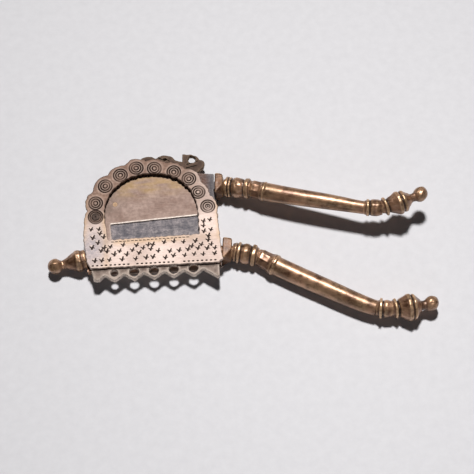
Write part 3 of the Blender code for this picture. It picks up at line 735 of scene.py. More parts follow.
def plate_relief(points):
    cut = ring_stamps(points)
    marks = stroke_cuts(points, BIRD_FEET, BIRD_FOOT_DEPTH)
    cut += np.where(marks > 0.02, marks, marks - 0.07 * punched_burrs(points))
    cut += stroke_cuts(points, EDGE_DOTS, DOT_DEPTH, 0.0)
    # Raised lip along the lower edge, painted light as a highlight line.
    cut -= LIP_HEIGHT * near_line(points[:, 1], foot_line(points[:, 0]) + 0.38, 0.26)
    cut += stroke_cuts(points, WINDOW_DASHES, DASH_DEPTH)
    return cut


BIRD_FEET, BIRD_BURRS = bird_feet()
EDGE_DOTS = edge_dots()
WINDOW_DASHES = window_dashes()


# ---------------------------------------------------------------- materials

def link_value(tree, socket, value):
    """Sets a socket to a number or colour, or links it to another socket."""
    if isinstance(value, bpy.types.NodeSocket):
        tree.links.new(value, socket)
    else:
        socket.default_value = value


def make_node(tree, kind, settings=None, **inputs):
    node = tree.nodes.new(kind)
    for key, value in (settings or {}).items():
        setattr(node, key, value)
    for key, value in inputs.items():
        link_value(tree, node.inputs[key.replace("_", " ")], value)
    return node


def maths(tree, operation, a, b=0.5, clamp=False):
    node = tree.nodes.new("ShaderNodeMath")
    node.operation, node.use_clamp = operation, clamp
    link_value(tree, node.inputs[0], a)
    link_value(tree, node.inputs[1], b)
    return node.outputs[0]


def blend_colour(tree, share, a, b):
    node = tree.nodes.new("ShaderNodeMix")
    node.data_type = "RGBA"
    link_value(tree, node.inputs["Factor"], share)
    link_value(tree, node.inputs[6], a)
    link_value(tree, node.inputs[7], b)
    return node.outputs[2]


def span(tree, value, low, high, to_low=0.0, to_high=1.0):
    node = make_node(tree, "ShaderNodeMapRange", {"clamp": True}, Value=value, From_Min=low,
                     From_Max=high, To_Min=to_low, To_Max=to_high)
    return node.outputs[0]


def mark(tree, label):
    return make_node(tree, "ShaderNodeAttribute", {"attribute_name": label}).outputs["Fac"]


def grain(tree, place, scale, detail=4.0, rough=0.55, stretch=(1.0, 1.0, 1.0), tilt=0.0):
    """Noise over millimetres; stretch makes it run along one axis."""
    mapping = make_node(tree, "ShaderNodeMapping", None, Vector=place,
                        Rotation=(0.0, 0.0, tilt), Scale=stretch)
    noise = make_node(tree, "ShaderNodeTexNoise", None, Vector=mapping.outputs[0], Scale=scale,
                      Detail=detail, Roughness=rough)
    return noise.outputs["Fac"]


def rgba(colour):
    return (*colour, 1.0)


def new_material(name):
    """Material, its node tree and shader, and its place in the object in millimetres."""
    material = bpy.data.materials.new(name)
    material.use_nodes = True
    tree = material.node_tree
    shader = tree.nodes["Principled BSDF"]
    where = tree.nodes.new("ShaderNodeTexCoord").outputs["Object"]
    place = make_node(tree, "ShaderNodeVectorMath", {"operation": "SCALE"},
                      Vector=where, Scale=1.0 / MM).outputs[0]
    return material, tree, shader, place


def add_bump(tree, shader, height, strength, distance):
    bump = make_node(tree, "ShaderNodeBump", None, Strength=strength, Distance=distance * MM,
                     Height=height)
    tree.links.new(bump.outputs[0], shader.inputs["Normal"])


def aged_metal(name, look):
    """Worn metal: blotches of three tones, dark dirt in hollows, and a light colour on rubbed
    ridges and edges that is real wear mixed with painted highlights.
    """
    material, tree, shader, place = new_material(name)
    blotch = grain(tree, place, look["blotch"], 5.0, 0.6)
    mottle = grain(tree, place, look["mottle"], 6.0, 0.62)
    scratch = grain(tree, place, look["scratch"], 3.0, 0.7, look["stretch"], look["tilt"])
    hollow, worn = mark(tree, "hollow"), mark(tree, "worn")

    low, high = look["spread"]
    tone = blend_colour(tree, span(tree, blotch, low, high), rgba(look["dark"]),
                        rgba(look["light"]))
    tone = blend_colour(tree, span(tree, mottle, 0.42, 0.68, 0.0, look["mottling"]), tone,
                        rgba(look["second"]))
    streak = span(tree, scratch, 0.5, 0.72, 0.0, look["streaks"])
    tone = blend_colour(tree, streak, tone, rgba(look["streak"]))
    for label, colour in look["tints"].items():
        uneven = span(tree, mottle, 0.3, 0.6, 0.55, 1.0)
        share = maths(tree, "MULTIPLY", mark(tree, label), uneven, clamp=True)
        tone = blend_colour(tree, share, tone, rgba(colour))
    # Rubbed edges, ridges, burrs and lips are blended towards a light colour: real wear mixed
    # with painted highlights.
    rub_and_highlight = maths(tree, "MULTIPLY", worn, span(tree, mottle, 0.35, 0.6, 0.35, 1.0), clamp=True)
    rub_and_highlight = maths(tree, "MULTIPLY", rub_and_highlight, look["wear"], clamp=True)
    tone = blend_colour(tree, rub_and_highlight, tone, rgba(look["bright"]))
    dirt = maths(tree, "MULTIPLY", hollow, span(tree, mottle, 0.25, 0.55, 0.8, 1.0), clamp=True)
    tone = blend_colour(tree, dirt, tone, rgba(look["dirt"]))
    tree.links.new(tone, shader.inputs["Base Color"])

    smooth, rough = look["roughness"]
    gloss = span(tree, maths(tree, "ADD", mottle, span(tree, scratch, 0.4, 0.7, 0.0, 0.25)),
                 0.35, 0.85, smooth, rough)
    gloss = maths(tree, "ADD", gloss, maths(tree, "MULTIPLY", hollow, 0.25))
    gloss = maths(tree, "SUBTRACT", gloss, maths(tree, "MULTIPLY", rub_and_highlight, 0.06), clamp=True)
    tree.links.new(gloss, shader.inputs["Roughness"])
    shader.inputs["Metallic"].default_value = look["metallic"]
    shader.inputs["Coat Weight"].default_value = look["coat"]
    shader.inputs["Coat Roughness"].default_value = 0.3
    shader.inputs["Specular IOR Level"].default_value = 0.5

    height = maths(tree, "ADD", maths(tree, "MULTIPLY", mottle, look["pitting"]),
                   maths(tree, "MULTIPLY", scratch, look["scoring"]))
    add_bump(tree, shader, height, look["relief"], 0.12)
    return material


def metal(slot, **look):
    """A metal's settings over those that most of the metals share."""
    shared = dict(spread=(0.35, 0.65), mottling=0.6, streaks=0.4, tilt=0.0, wear=0.6,
                  roughness=(0.6, 0.75), metallic=0.85, coat=0.0, scoring=0.3, tints={})
    return {**shared, "slot": slot, **look}


BRONZE = dict(
    dark=(0.115, 0.05, 0.023), light=(0.52, 0.285, 0.168), second=(0.175, 0.084, 0.044),
    streak=(0.55, 0.335, 0.215), bright=(0.9, 0.6, 0.34), dirt=(0.028, 0.015, 0.009),
    spread=(0.40, 0.61), blotch=0.2, mottle=0.8, mottling=0.7, scratch=0.9,
    stretch=(0.3, 1.4, 1.4), tilt=-0.35, streaks=0.5, wear=0.85, roughness=(0.32, 0.48),
    metallic=0.6, coat=0.45, pitting=0.7, scoring=0.6, relief=0.6)
# Filed collars: rougher, their tones the bronze darkened as painted shade because their flat
# faces face the lamp, and their edges fully lightened as painted highlight.
FILED_SHADED = dict(dark=(0.09, 0.042, 0.022), light=(0.27, 0.135, 0.07), roughness=(0.48, 0.62),
             coat=0.15, wear=1.0)
LOOKS = {
    "guard_brass": metal(
        "guard_brass", dark=(0.20, 0.125, 0.095), light=(0.38, 0.27, 0.215),
        second=(0.28, 0.20, 0.165), streak=(0.46, 0.35, 0.29), bright=(0.66, 0.54, 0.46),
        dirt=(0.08, 0.052, 0.044), spread=(0.35, 0.68), blotch=0.16, mottle=0.9, mottling=0.5,
        scratch=1.1, stretch=(0.25, 1.6, 1.0), tilt=0.35, streaks=0.35, wear=0.8,
        roughness=(0.62, 0.74), metallic=0.88, pitting=0.7, scoring=0.35, relief=0.55,
        # The pale tint is a painted reflection on the band; the brown tint is patina with
        # painted shade on the arch.
        tints={"pale": (0.74, 0.615, 0.555), "gold": (0.55, 0.37, 0.20),
               "grey": (0.37, 0.34, 0.36), "brown": (0.18, 0.108, 0.078)}),
    "crest_brass": metal(
        "guard_brass", dark=(0.12, 0.085, 0.07), light=(0.28, 0.22, 0.185),
        second=(0.15, 0.112, 0.095), streak=(0.4, 0.31, 0.26), bright=(0.9, 0.78, 0.68),
        dirt=(0.03, 0.022, 0.018), blotch=0.25, mottle=1.1, scratch=1.2,
        stretch=(0.3, 1.5, 1.0), tilt=0.2, wear=0.9, pitting=0.9, scoring=0.4, relief=0.7),
    "cheek_brass": metal(
        "cheek_brass", dark=(0.25, 0.17, 0.14), light=(0.37, 0.275, 0.235),
        second=(0.28, 0.20, 0.17), streak=(0.45, 0.34, 0.29), bright=(0.95, 0.86, 0.78),
        dirt=(0.06, 0.04, 0.03), spread=(0.38, 0.66), blotch=0.14, mottle=0.7, mottling=0.3,
        scratch=1.3, stretch=(0.12, 1.5, 1.0), tilt=-0.16, streaks=0.75, wear=0.85,
        roughness=(0.64, 0.74), metallic=0.9, pitting=0.35, scoring=0.6, relief=0.4,
        tints={"gold": (0.39, 0.27, 0.15), "grey": (0.20, 0.15, 0.125)}),
    # Jaw crest: the cheek brass darkened as painted shade where the strip sits between the
    # plates.
    "jaw_crest_brass_shaded": metal(
        "cheek_brass", dark=(0.042, 0.025, 0.02), light=(0.11, 0.068, 0.05),
        second=(0.065, 0.045, 0.038), streak=(0.17, 0.112, 0.08), bright=(0.42, 0.3, 0.2),
        dirt=(0.02, 0.016, 0.014), blotch=0.3, mottle=1.2, scratch=1.2,
        stretch=(0.4, 1.3, 1.0), tilt=0.5, metallic=0.8, pitting=1.0, relief=0.8),
    "bronze": metal("bronze", **BRONZE),
    "blade_steel": metal(
        "blade_steel", dark=(0.105, 0.098, 0.108), light=(0.31, 0.27, 0.27),
        second=(0.125, 0.12, 0.14), streak=(0.42, 0.38, 0.37), bright=(0.5, 0.45, 0.42),
        dirt=(0.02, 0.018, 0.018), spread=(0.36, 0.64), blotch=0.35, mottle=1.7,
        mottling=0.75, scratch=2.0, stretch=(0.1, 1.6, 1.0), tilt=0.08, streaks=0.8, wear=0.5,
        roughness=(0.6, 0.74), metallic=0.9, pitting=1.0, scoring=1.0, relief=0.8,
        tints={"rust": (0.14, 0.07, 0.045), "shade": (0.07, 0.064, 0.068)}),
    "pin_metal": metal(
        "pin_metal", dark=(0.07, 0.05, 0.042), light=(0.2, 0.14, 0.115),
        second=(0.12, 0.09, 0.08), streak=(0.24, 0.17, 0.14), bright=(0.36, 0.27, 0.22),
        dirt=(0.02, 0.014, 0.012), blotch=0.8, mottle=1.6, scratch=1.5,
        stretch=(1.0, 1.0, 1.0), roughness=(0.55, 0.7), pitting=1.0, relief=0.9),
    "copper_rivet": metal(
        "copper_rivet", dark=(0.31, 0.2, 0.13), light=(0.41, 0.28, 0.18),
        second=(0.35, 0.235, 0.15), streak=(0.48, 0.33, 0.21), bright=(0.75, 0.55, 0.36),
        dirt=(0.1, 0.05, 0.03), blotch=0.7, mottle=1.5, mottling=0.4, scratch=1.8,
        stretch=(0.3, 1.4, 1.0), wear=0.5, roughness=(0.62, 0.72), metallic=0.9, pitting=0.4,
        scoring=0.5, relief=0.4),
    "filed_bronze_shaded": metal("bronze", **{**BRONZE, **FILED_SHADED}),
}
MATERIALS = {name: aged_metal(name, look) for name, look in LOOKS.items()}


# ---------------------------------------------------------------- jaw

def ease(values, low, high):
    t = np.clip((values - low) / (high - low), 0.0, 1.0)
    return t * t * (3 - 2 * t)


def near_line(values, centre, reach):
    return np.exp(-((values - centre) / reach) ** 2)


def plate_tints(flat):
    """Brown patina round the rings with painted shade on the upper arch, a pale painted
    reflection on the band and right limb, golden by the window; the painted edge highlight is
    kept mostly to the lower and right edges.
    """
    x, y = flat[:, 0], flat[:, 1]
    blotches = ripple(flat, 14.0, 21)
    radius = np.min([np.hypot(x - cx, y - cy) for cx, cy in RING_CENTRES], axis=0)
    struck = ease(radius, 0.5, 1.0) * (1 - ease(radius, 3.0, 3.8))
    brown = struck * ease(y, -5.0, -2.0) * (0.65 + 0.3 * blotches)
    brown *= 1 - 0.35 * ease(x, 36.0, 48.0)
    # Painted shade: the zone just outside the rings on the upper arch is darkened brown.
    brown += ease(radius, 3.7, 4.6) * ease(y, 2.0, 10.0) * (1 - ease(x, 38.0, 46.0)) * 0.7
    # Painted reflection: the lower band, and less so the right limb, are lightened to a pale
    # tone.
    pale = ease(-y, -6.0, 10.0) * (0.85 + 0.15 * blotches) + ease(x, 40.0, 50.0) * 0.45
    pale *= 1 - 0.45 * ease(x, 36.0, 48.0) * ease(-y, 8.0, 14.0)
    under_window = near_line(y, WINDOW_BOTTOM - 1.4, 1.7) * ease(x, 4.0, 10.0)
    left_edge = near_line(x, PLATE_LEFT, 1.8) * ease(y, -16.0, -10.0)
    by_window = near_line(x, WINDOW_CENTRE[0] - WINDOW_HALF_WIDTH, 1.6) * ease(-y, -4.0, 2.0)
    right_edge = near_line(x, PLATE_RIGHT, 1.3) * ease(y, -20.0, -10.0)
    gold = under_window * 0.7 * (1 - ease(x, 30.0, 46.0) * 0.7) + left_edge * 0.8
    gold += by_window * 0.6 + right_edge * 0.6
    grey = near_line(x, -2.5, 7.0) * near_line(y, -15.0, 9.0) * 0.9
    # Painted highlight: the rims are lightened mostly along the lower edge and the right limb.
    edge = 0.1 + 0.9 * np.maximum(ease(-y, 14.0, 20.0), 0.6 * ease(x, 40.0, 46.0))
    return {"brown": np.clip(brown, 0, 1), "pale": np.clip(pale, 0, 1),
            "gold": np.clip(gold, 0, 1), "grey": np.clip(grey, 0, 1), "edge": edge}


def guard_plates():
    outline = cut_edge(plate_outline(), 0.13, 2.2, 3)
    window = cut_edge(window_outline(), 0.19, 2.0, 4)
    holes = PIN_HOLE + round_holes(PLATE_RIVETS, PLATE_RIVET_RADIUS)
    sheet("front_guard_plate_punched", [outline, window], FRONT_PLATE, "guard_brass", GUARD,
          "front_guard_plate", rim=0.42, cell=FINE_CELL, front=plate_relief, plain=holes,
          tints=plate_tints)
    sheet("back_guard_plate_punched", [outline, window], BACK_PLATE, "guard_brass", GUARD,
          "back_guard_plate", rim=0.42, cell=FINE_CELL * 1.6, back=ring_stamps, plain=holes,
          tints=plate_tints)


def rivets(kind, places, radius, layer, look, body, **more):
    for i, place in enumerate(places):
        sheet(f"{kind}_{i + 1}_head", [circle(*place, radius)], layer, look, body,
              f"{kind}_{i + 1}", **more)


def plate_rivets():
    rivets("plate_rivet", PLATE_RIVETS, PLATE_RIVET_RADIUS, (0.1, FRONT_PLATE[1]),
           "guard_brass", GUARD, rim=0.015, cell=FINE_CELL, front=plate_relief,
           tints=plate_tints)


def crest_strip():
    outline = cut_edge(crest_outline(), 0.07, 2.0, 7)
    radii = [FIRST_HOLE_RADIUS] + [CREST_HOLE_RADIUS] * (TOOTH_COUNT - 1)
    holes = [wander(circle(FIRST_TOOTH_X + TOOTH_PITCH * i, CREST_HOLE_Y, radius),
                    0.06, 1.6, 8 + i) for i, radius in enumerate(radii)]

    def swollen(points):
        below = ease(foot_line(points[:, 0]) - 0.15 - points[:, 1], 0.0, 0.4)
        points[:, 2] += 0.75 * below * (points[:, 2] > CREST[0] + 0.9)
        return points

    sheet("pierced_crest_worn", [outline, *holes], CREST, "crest_brass", GUARD,
          "pierced_crest", rim=0.4, cell=0.3, bend=swollen,
          plain=round_holes(PLATE_RIVETS, PLATE_RIVET_RADIUS))


def cheek_tints(flat):
    x, y = flat[:, 0], flat[:, 1]
    streaks = ripple(flat * np.array([0.22, 1.0]), 2.2, 31)
    gold = ease(y, 6.0, 15.0) * (0.65 + 0.5 * streaks)
    grey = near_line(x, 3.0, 8.0) * ease(y, -4.0, 6.0) * 0.8
    return {"gold": np.clip(gold, 0, 1), "grey": np.clip(grey, 0, 1)}


def chord_burr(points):
    """Thin ridge of turned-up metal along the cheek's straight edge, painted light as a
    highlight line.
    """
    return -0.12 * near_line(points[:, 1], CHEEK_CHORD + 0.34, 0.3) * (
        points[:, 0] > CHEEK_STRIP_X[1])


def cheeks():
    outline = cut_edge(cheek_outline())
    plain = PIN_HOLE + round_holes(BLADE_RIVETS + CREST_RIVETS, CHEEK_RIVET_RADIUS)
    for node, layer in (("front_cheek", FRONT_CHEEK), ("back_cheek", BACK_CHEEK)):
        sheet(f"{node}_satin", [outline], layer, "cheek_brass", BLADE, node, rim=0.25,
              cell=0.3, front=chord_burr, plain=plain, tints=cheek_tints, turn=REST_OPENING)


def blade_tints(flat):
    x, y = flat[:, 0], flat[:, 1]
    web = ease(x, 44.0, 48.0)
    rust = web * (1 - ease(x, 50.5, 53.5)) * ease(y, 5.0, 11.0)
    rust = np.clip(rust * (0.85 + 0.3 * ripple(flat, 3.0, 41)), 0, 1)
    return {"shade": web * (0.75 - 0.7 * rust), "rust": rust}


def blade():
    """Steel blade whose cutting edge is ground from both sides."""
    outline = cut_edge(blade_outline())
    plain = PIN_HOLE + round_holes(BLADE_RIVETS, CHEEK_RIVET_RADIUS)
    middle = sum(BLADE_LAYER) / 2

    def grind(points):
        share = 0.12 + 0.88 * ease(points[:, 1], CUTTING_EDGE, CUTTING_EDGE + 3.2)
        points[:, 2] = middle + (points[:, 2] - middle) * share
        return points

    sheet("blade_ground", [outline], BLADE_LAYER, "blade_steel", BLADE, "blade", rim=0.25,
          cell=0.3, plain=plain, tints=blade_tints, turn=REST_OPENING, bend=grind)


def jaw_crest_relief(points):
    """Worn feather lines and the notch beside the second bump."""
    lines = [((30.4, 28.3), (33.0, 26.6)), ((33.6, 27.6), (35.3, 25.9)),
             ((43.1, 23.4), (48.4, 24.6)), ((42.6, 21.6), (47.6, 22.4)),
             ((20.0, 25.0), (24.6, 27.7)), ((27.0, 26.6), (29.2, 25.4))]
    return stroke_cuts(points, [(*line, 0.32) for line in lines], 0.22, 0.55)


def jaw_crest():
    outline = cut_edge(jaw_crest_outline(), 0.08, 1.8, 51)
    eye = wander(circle(*LOOP_EYE, LOOP_EYE_RADIUS), 0.12, 1.5, 52)
    slot = circle(0.0, 0.0, 1.0, 28) * np.array(BUMP_SLOT_HALF_SIZE) + BUMP_SLOT_CENTRE
    slot = wander(slot, 0.1, 1.2, 53)
    plain = round_holes(CREST_RIVETS, CHEEK_RIVET_RADIUS)
    sheet("jaw_crest_worn", [outline, eye, slot], JAW_CREST_LAYER, "jaw_crest_brass_shaded", BLADE,
          "jaw_crest", rim=0.4, cell=0.22, front=jaw_crest_relief, plain=plain,
          turn=REST_OPENING)


def cheek_rivets():
    rivets("cheek_rivet", BLADE_RIVETS + CREST_RIVETS, CHEEK_RIVET_RADIUS,
           (BACK_CHEEK[0], FRONT_CHEEK[1]), "copper_rivet", BLADE, rim=0.02, cell=0.2,
           turn=REST_OPENING)


def pivot_pin():
    """Pin through the jaw, its end hammered to a low, uneven dome."""
    top = FRONT_PLATE[1]
    knots = [(0.1, 0.0), (0.1, PIN_RADIUS), (top - 0.15, PIN_RADIUS), (top + 0.05, 1.8),
             (top + 0.22, 1.5), (top + 0.3, 1.0), (top + 0.3, 0.0)]

    def hammered(theta, travel):
        return 1.0 + 0.04 * np.sin(3 * theta + travel) * (travel > top - 0.1)

    def darkened(theta, values, rows, sides):
        return {"hollow": np.maximum(values["hollow"], 0.35), "worn": values["worn"] * 0.5}

    turned("pivot_pin_hammered", (0.0, 0.0, 0.0), (0.0, 0.0, 1.0), knots, "pin_metal", GUARD,
           "pivot_pin", sides_rule=hammered, dents=0.05, seed=61, marks=darkened,
           upright=(1.0, 0.0, 0.0))


# ---------------------------------------------------------------- handles

def collar_shape(half):
    """Square block; its two camera-side corners are filed off towards the handle."""
    def radius(theta, travel):
        flats = [half / np.maximum(np.cos(theta - k * math.pi / 2), 0.05) for k in range(4)]
        corners = [(half * math.sqrt(2) + slope * (start - travel))
                   / np.maximum(np.cos(theta - (k + 0.5) * math.pi / 2), 0.05)
                   for k, (start, slope) in enumerate(COLLAR_CUTS)]
        walls = [np.broadcast_to(w, np.broadcast(theta, travel).shape) for w in flats + corners]
        power = 26.0
        return sum(w ** -power for w in walls) ** (-1.0 / power)
    return radius


def collar(name, node, root, way, lead, body, turn):
    half = COLLAR_SIDE / 2
    shape = collar_shape(half)
    knots = [(-lead, 0.0), (-lead, 0.9), (0.2 - lead, 0.97), (0.5 - lead, 1.0),
             (COLLAR_LENGTH - 0.3, 1.0), (COLLAR_LENGTH - 0.05, 0.96),
             (COLLAR_LENGTH + 0.05, 0.9), (COLLAR_LENGTH + 0.1, 0.0)]
    rows = smooth_profile(knots, COLLAR_ROW_STEP, 1)

    def section(theta, row):
        return shape(theta, np.clip(rows[:, 0], 0.0, COLLAR_LENGTH)[row])

    def marks(theta, values, count, sides):
        travel = np.clip(rows[:, 0], 0.0, COLLAR_LENGTH)[:, None]
        reach = shape(theta[None, :], travel)
        bends = np.abs(np.roll(reach, 1, 1) - 2 * reach + np.roll(reach, -1, 1))
        # Painted highlight along the filed corners and the collar's end; a faint even dirt over
        # all.
        worn = np.clip((bends - 0.04) / 0.08, 0.0, 1.0) * 0.9
        ends = near_line(rows[:, 0], COLLAR_LENGTH, 0.3)[:, None] * 0.5
        return {"worn": np.clip(worn + ends, 0, 1).reshape(-1),
                "hollow": np.full(count * sides, 0.12)}

    centres, ways = straight(root, way, rows)
    swept(name, centres, ways, rows[:, 1], "filed_bronze_shaded", body, node, shape=section,
          dents=0.05, seed=71, turn=turn, marks=marks, sides=COLLAR_SIDES)


def knob_knots(length, ring, ridge, neck, ball, waist):
    """End knob: ring, cone that swells to two ridges, thin neck and a ball."""
    knots = [(-1.3, 0.0), (-1.3, waist * 0.85), (0.0, waist), (0.35, ring - 0.1),
             (0.55, ring + 0.08), (1.2, ring + 0.05), (1.45, ring - 0.3), (1.7, ring * 0.78),
             (2.2, ring * 0.76)]
    body = [(0.16, 0.66), (0.22, 0.75), (0.29, 0.86), (0.345, 0.94), (0.375, 1.0), (0.43, 1.0),
            (0.455, 0.95), (0.47, 0.885), (0.49, 0.875), (0.505, 0.92), (0.53, 0.945),
            (0.56, 0.92), (0.59, 0.82), (0.64, 0.66), (0.70, 0.50)]
    knots += [(length * share, ridge * size) for share, size in body]
    knots += [(length - ball * 1.4, neck * 1.15), (length - ball * 1.1, neck)]
    for i in range(1, 15):
        turn = math.radians(-60 + i * 10.5)
        knots.append((length + ball * math.sin(turn), ball * math.cos(turn)))
    return knots + [(length + ball, 0.0)]


def bead_knots(length, ring, barrel, waist):
    """Ring and a broad barrel, with narrow seams at both ends."""
    return [(-1.0, 0.0), (-1.0, waist * 0.9), (0.0, waist), (0.3, waist + 0.1),
            (0.5, ring - 0.15), (0.7, ring + 0.06), (1.4, ring + 0.06), (1.6, ring - 0.15),
            (1.8, waist + 0.05), (2.1, waist), (2.4, barrel - 0.25), (3.0, barrel),
            (length - 1.4, barrel), (length - 0.4, barrel - 0.25), (length, waist + 0.1),
            (length + 1.0, waist * 0.95), (length + 1.0, 0.0)]


def neck_knots(length, near, far, ring):
    """Taper from a radius near the ferrule to one far from it, then the seam ring."""
    return [(-1.8, 0.0), (-1.8, near * 0.85), (-0.3, near * 0.95), (0.3, near + 0.1),
            (length * 0.55, near * 0.65 + far * 0.35), (length - 1.9, far + 0.05),
            (length - 1.6, far - 0.1), (length - 1.4, ring - 0.1), (length - 1.2, ring + 0.08),
            (length - 0.5, ring + 0.08), (length - 0.25, ring - 0.2),
            (length + 0.2, ring - 0.4), (length + 0.2, 0.0)]


UPPER_FERRULE = [
    (-0.6, 0.0), (-0.6, 3.5), (0.0, 3.6), (0.25, 4.35), (0.5, 4.62), (1.5, 4.65), (1.75, 4.1),
    (2.0, 4.1), (2.2, 4.5), (2.85, 4.5), (3.1, 3.85), (3.5, 3.85), (3.9, 4.2), (5.2, 4.62),
    (6.6, 4.55), (8.0, 4.2), (8.9, 3.85), (9.25, 3.75), (9.45, 4.35), (9.7, 4.66),
    (11.0, 4.66), (11.3, 4.35), (11.5, 3.8), (11.8, 3.7), (12.2, 3.6), (12.2, 0.0),
]
LOWER_FERRULE = [
    (-0.6, 0.0), (-0.6, 3.8), (0.0, 4.0), (0.4, 4.05), (0.7, 4.4), (1.2, 4.4), (1.5, 4.05),
    (1.8, 4.6), (2.1, 4.82), (2.8, 4.82), (3.05, 4.4), (3.4, 4.0), (3.7, 4.2), (5.0, 4.7),
    (6.2, 4.66), (7.3, 4.3), (7.7, 4.0), (8.0, 4.0), (8.3, 4.55), (8.6, 4.84), (9.8, 4.84),
    (10.1, 4.5), (10.4, 4.0), (10.8, 3.9), (11.2, 3.8), (11.2, 0.0),
]


def seam(first_way, second_way, radius):
    """Step that the frame leaves between two butted round ends where the line bends."""
    return GAP + radius * math.sin(first_way.angle(second_way))


def smooth_line(line, radii, steps):
    """Catmull-Rom points and radii along a line of control points."""
    knots = [Vector((*place, radius)) for place, radius in zip(line, radii)]
    knots = [2 * knots[0] - knots[1], *knots, 2 * knots[-1] - knots[-2]]
    points = []
    for a, b, c, d in zip(knots, knots[1:], knots[2:], knots[3:]):
        for i in range(steps):
            t = i / steps
            points.append((2 * b + (c - a) * t + (2 * a - 5 * b + 4 * c - d) * t * t
                           + (3 * b - a - 3 * c + d) * t * t * t) / 2)
    points.append(knots[-2])
    return np.array([tuple(p) for p in points])


def neck_rule(length, ring_length, skew):
    """Eight-sided up to its seam ring, which is round; the facets are a little askew."""
    def rule(theta, travel):
        flat = np.clip((length - ring_length - travel) / 0.4, 0.0, 1.0)
        return facets(theta, 8, 1.0, math.pi / 8 + math.radians(skew)) * flat + (1 - flat)
    return rule


def filed(sides, share, phase):
    def rule(theta, travel):
        return facets(theta, sides, share, phase) + 0.004 * np.sin(5 * theta + travel * 2.0)
    return rule


def grip(name, node, spec, body, turn):
    line = smooth_line(spec["line"], spec["radii"], 26)
    centres, radii = line[:, :3], line[:, 3]
    ways = np.gradient(centres, axis=0)
    ways /= np.linalg.norm(ways, axis=1)[:, None]
    first, last = ways[0], ways[-1]
    centres = np.concatenate([centres[:1] - first * 0.5, centres[:1] - first * 0.5, centres,
                              centres[-1:] + last * 0.5, centres[-1:] + last * 0.5])
    ways = np.concatenate([ways[:1], ways[:1], ways, ways[-1:], ways[-1:]])
    radii = np.concatenate([[0.02], radii[:1] * 0.93, radii, radii[-1:] * 0.93, [0.02]])

    def rubbed_and_lit(theta, values, rows, sides):
        travel = np.repeat(np.arange(rows) * 0.3, sides)
        angle = np.tile(theta, rows)
        field = np.column_stack([travel * 0.25, np.cos(angle) * 2.0, np.sin(angle) * 2.0])
        return {"worn": np.clip(0.16 + 0.2 * ripple(field, 2.4, 83), 0, 1),
                "hollow": np.clip(0.3 * ripple(field, 1.7, 84) - 0.15, 0, 1)}

    swept(name, centres, ways, radii, "bronze", body, node, dents=0.014, seed=81, turn=turn,
          marks=rubbed_and_lit)


def handle(prefix, spec, body, turn):
    """Collar, bead ferrule, neck, grip, end bead and end knob along one centre line."""
    def part(node, finish, start, way, knots, rule, dents, seed, **more):
        turned(f"{prefix}_{node}_{finish}", start, way, knots, "bronze", body,
               f"{prefix}_{node}", sides_rule=rule, dents=dents, seed=seed, turn=turn, **more)

    root = spec["root"]
    collar_way = heading(*spec["collar"])
    forward = heading(*spec["ferrule"])
    collar(f"{prefix}_collar_cut", f"{prefix}_collar", root, collar_way, spec["lead"], body,
           turn)
    start = root + collar_way * COLLAR_LENGTH + forward * seam(collar_way, forward,
                                                              spec["waist"])
    part("bead_ferrule", "turned", start, forward, spec["ferrule_knots"],
         filed(12, 0.35, 0.2), 0.09, 73)
    ferrule_end = start + forward * spec["ferrule_length"]

    line = [Vector(p) for p in spec["line"]]
    neck_way = (line[0] - ferrule_end).normalized()
    neck_start = ferrule_end + neck_way * seam(forward, neck_way, spec["neck"][0])
    length = (line[0] - neck_start).length
    part("neck", "faceted", neck_start, neck_way, neck_knots(length, *spec["neck"]),
         neck_rule(length, SEAM_RING_LENGTH, spec["skew"]), 0.05, 75)
    grip(f"{prefix}_grip_worn", f"{prefix}_grip", spec, body, turn)

    grip_way = (line[-1] - line[-2]).normalized()
    bead_way = (spec["bead_end"] - line[-1]).normalized()
    waist = spec["bead"][2]
    bead_start = line[-1] + bead_way * seam(grip_way, bead_way, waist)
    bead_length = (spec["bead_end"] - bead_start).length
    part("end_bead", "turned", bead_start, bead_way, bead_knots(bead_length, *spec["bead"]),
         filed(11, 0.3, 0.5), 0.06, 77)

    knob_way = (spec["ball"] - spec["bead_end"]).normalized()
    knob_start = spec["bead_end"] + knob_way * seam(bead_way, knob_way, waist)
    knob_length = (spec["ball"] - knob_start).length
    part("end_knob", "turned", knob_start, knob_way,
         knob_knots(knob_length, *spec["knob"], waist), filed(9, 0.5, 0.7), 0.1, 79,
         bow=spec["bow"])


def finial():
    way = heading(FINIAL_ANGLE)
    cone = [(-0.2, 0.0), (-0.2, 4.0), (0.1, 4.2), (0.5, 4.35), (1.6, 4.35), (2.0, 4.4),
            (2.4, 4.78), (2.8, 4.9), (4.2, 4.88), (4.6, 4.65), (5.1, 4.25), (5.4, 4.2),
            (6.8, 3.35), (8.4, 2.5), (9.2, 2.15), (10.2, 1.95), (10.9, 1.95), (10.9, 0.0)]
    bud = [(10.5, 0.0), (10.5, 1.8), (11.0, 2.0), (11.7, 2.6), (12.6, 3.25), (13.5, 3.5),
           (14.4, 3.5), (15.2, 3.25), (16.0, 2.7), (16.7, 1.9), (17.1, 1.1), (17.3, 0.0)]
    turned("finial_cone_filed", FINIAL_ROOT, way, cone, "bronze", GUARD, "finial_cone",
           sides_rule=filed(8, 0.7, 0.25), dents=0.06, seed=91)
    turned("finial_bud_filed", FINIAL_ROOT, way, bud, "bronze", GUARD, "finial_bud",
           sides_rule=filed(6, 0.75, 0.5), dents=0.06, seed=93)


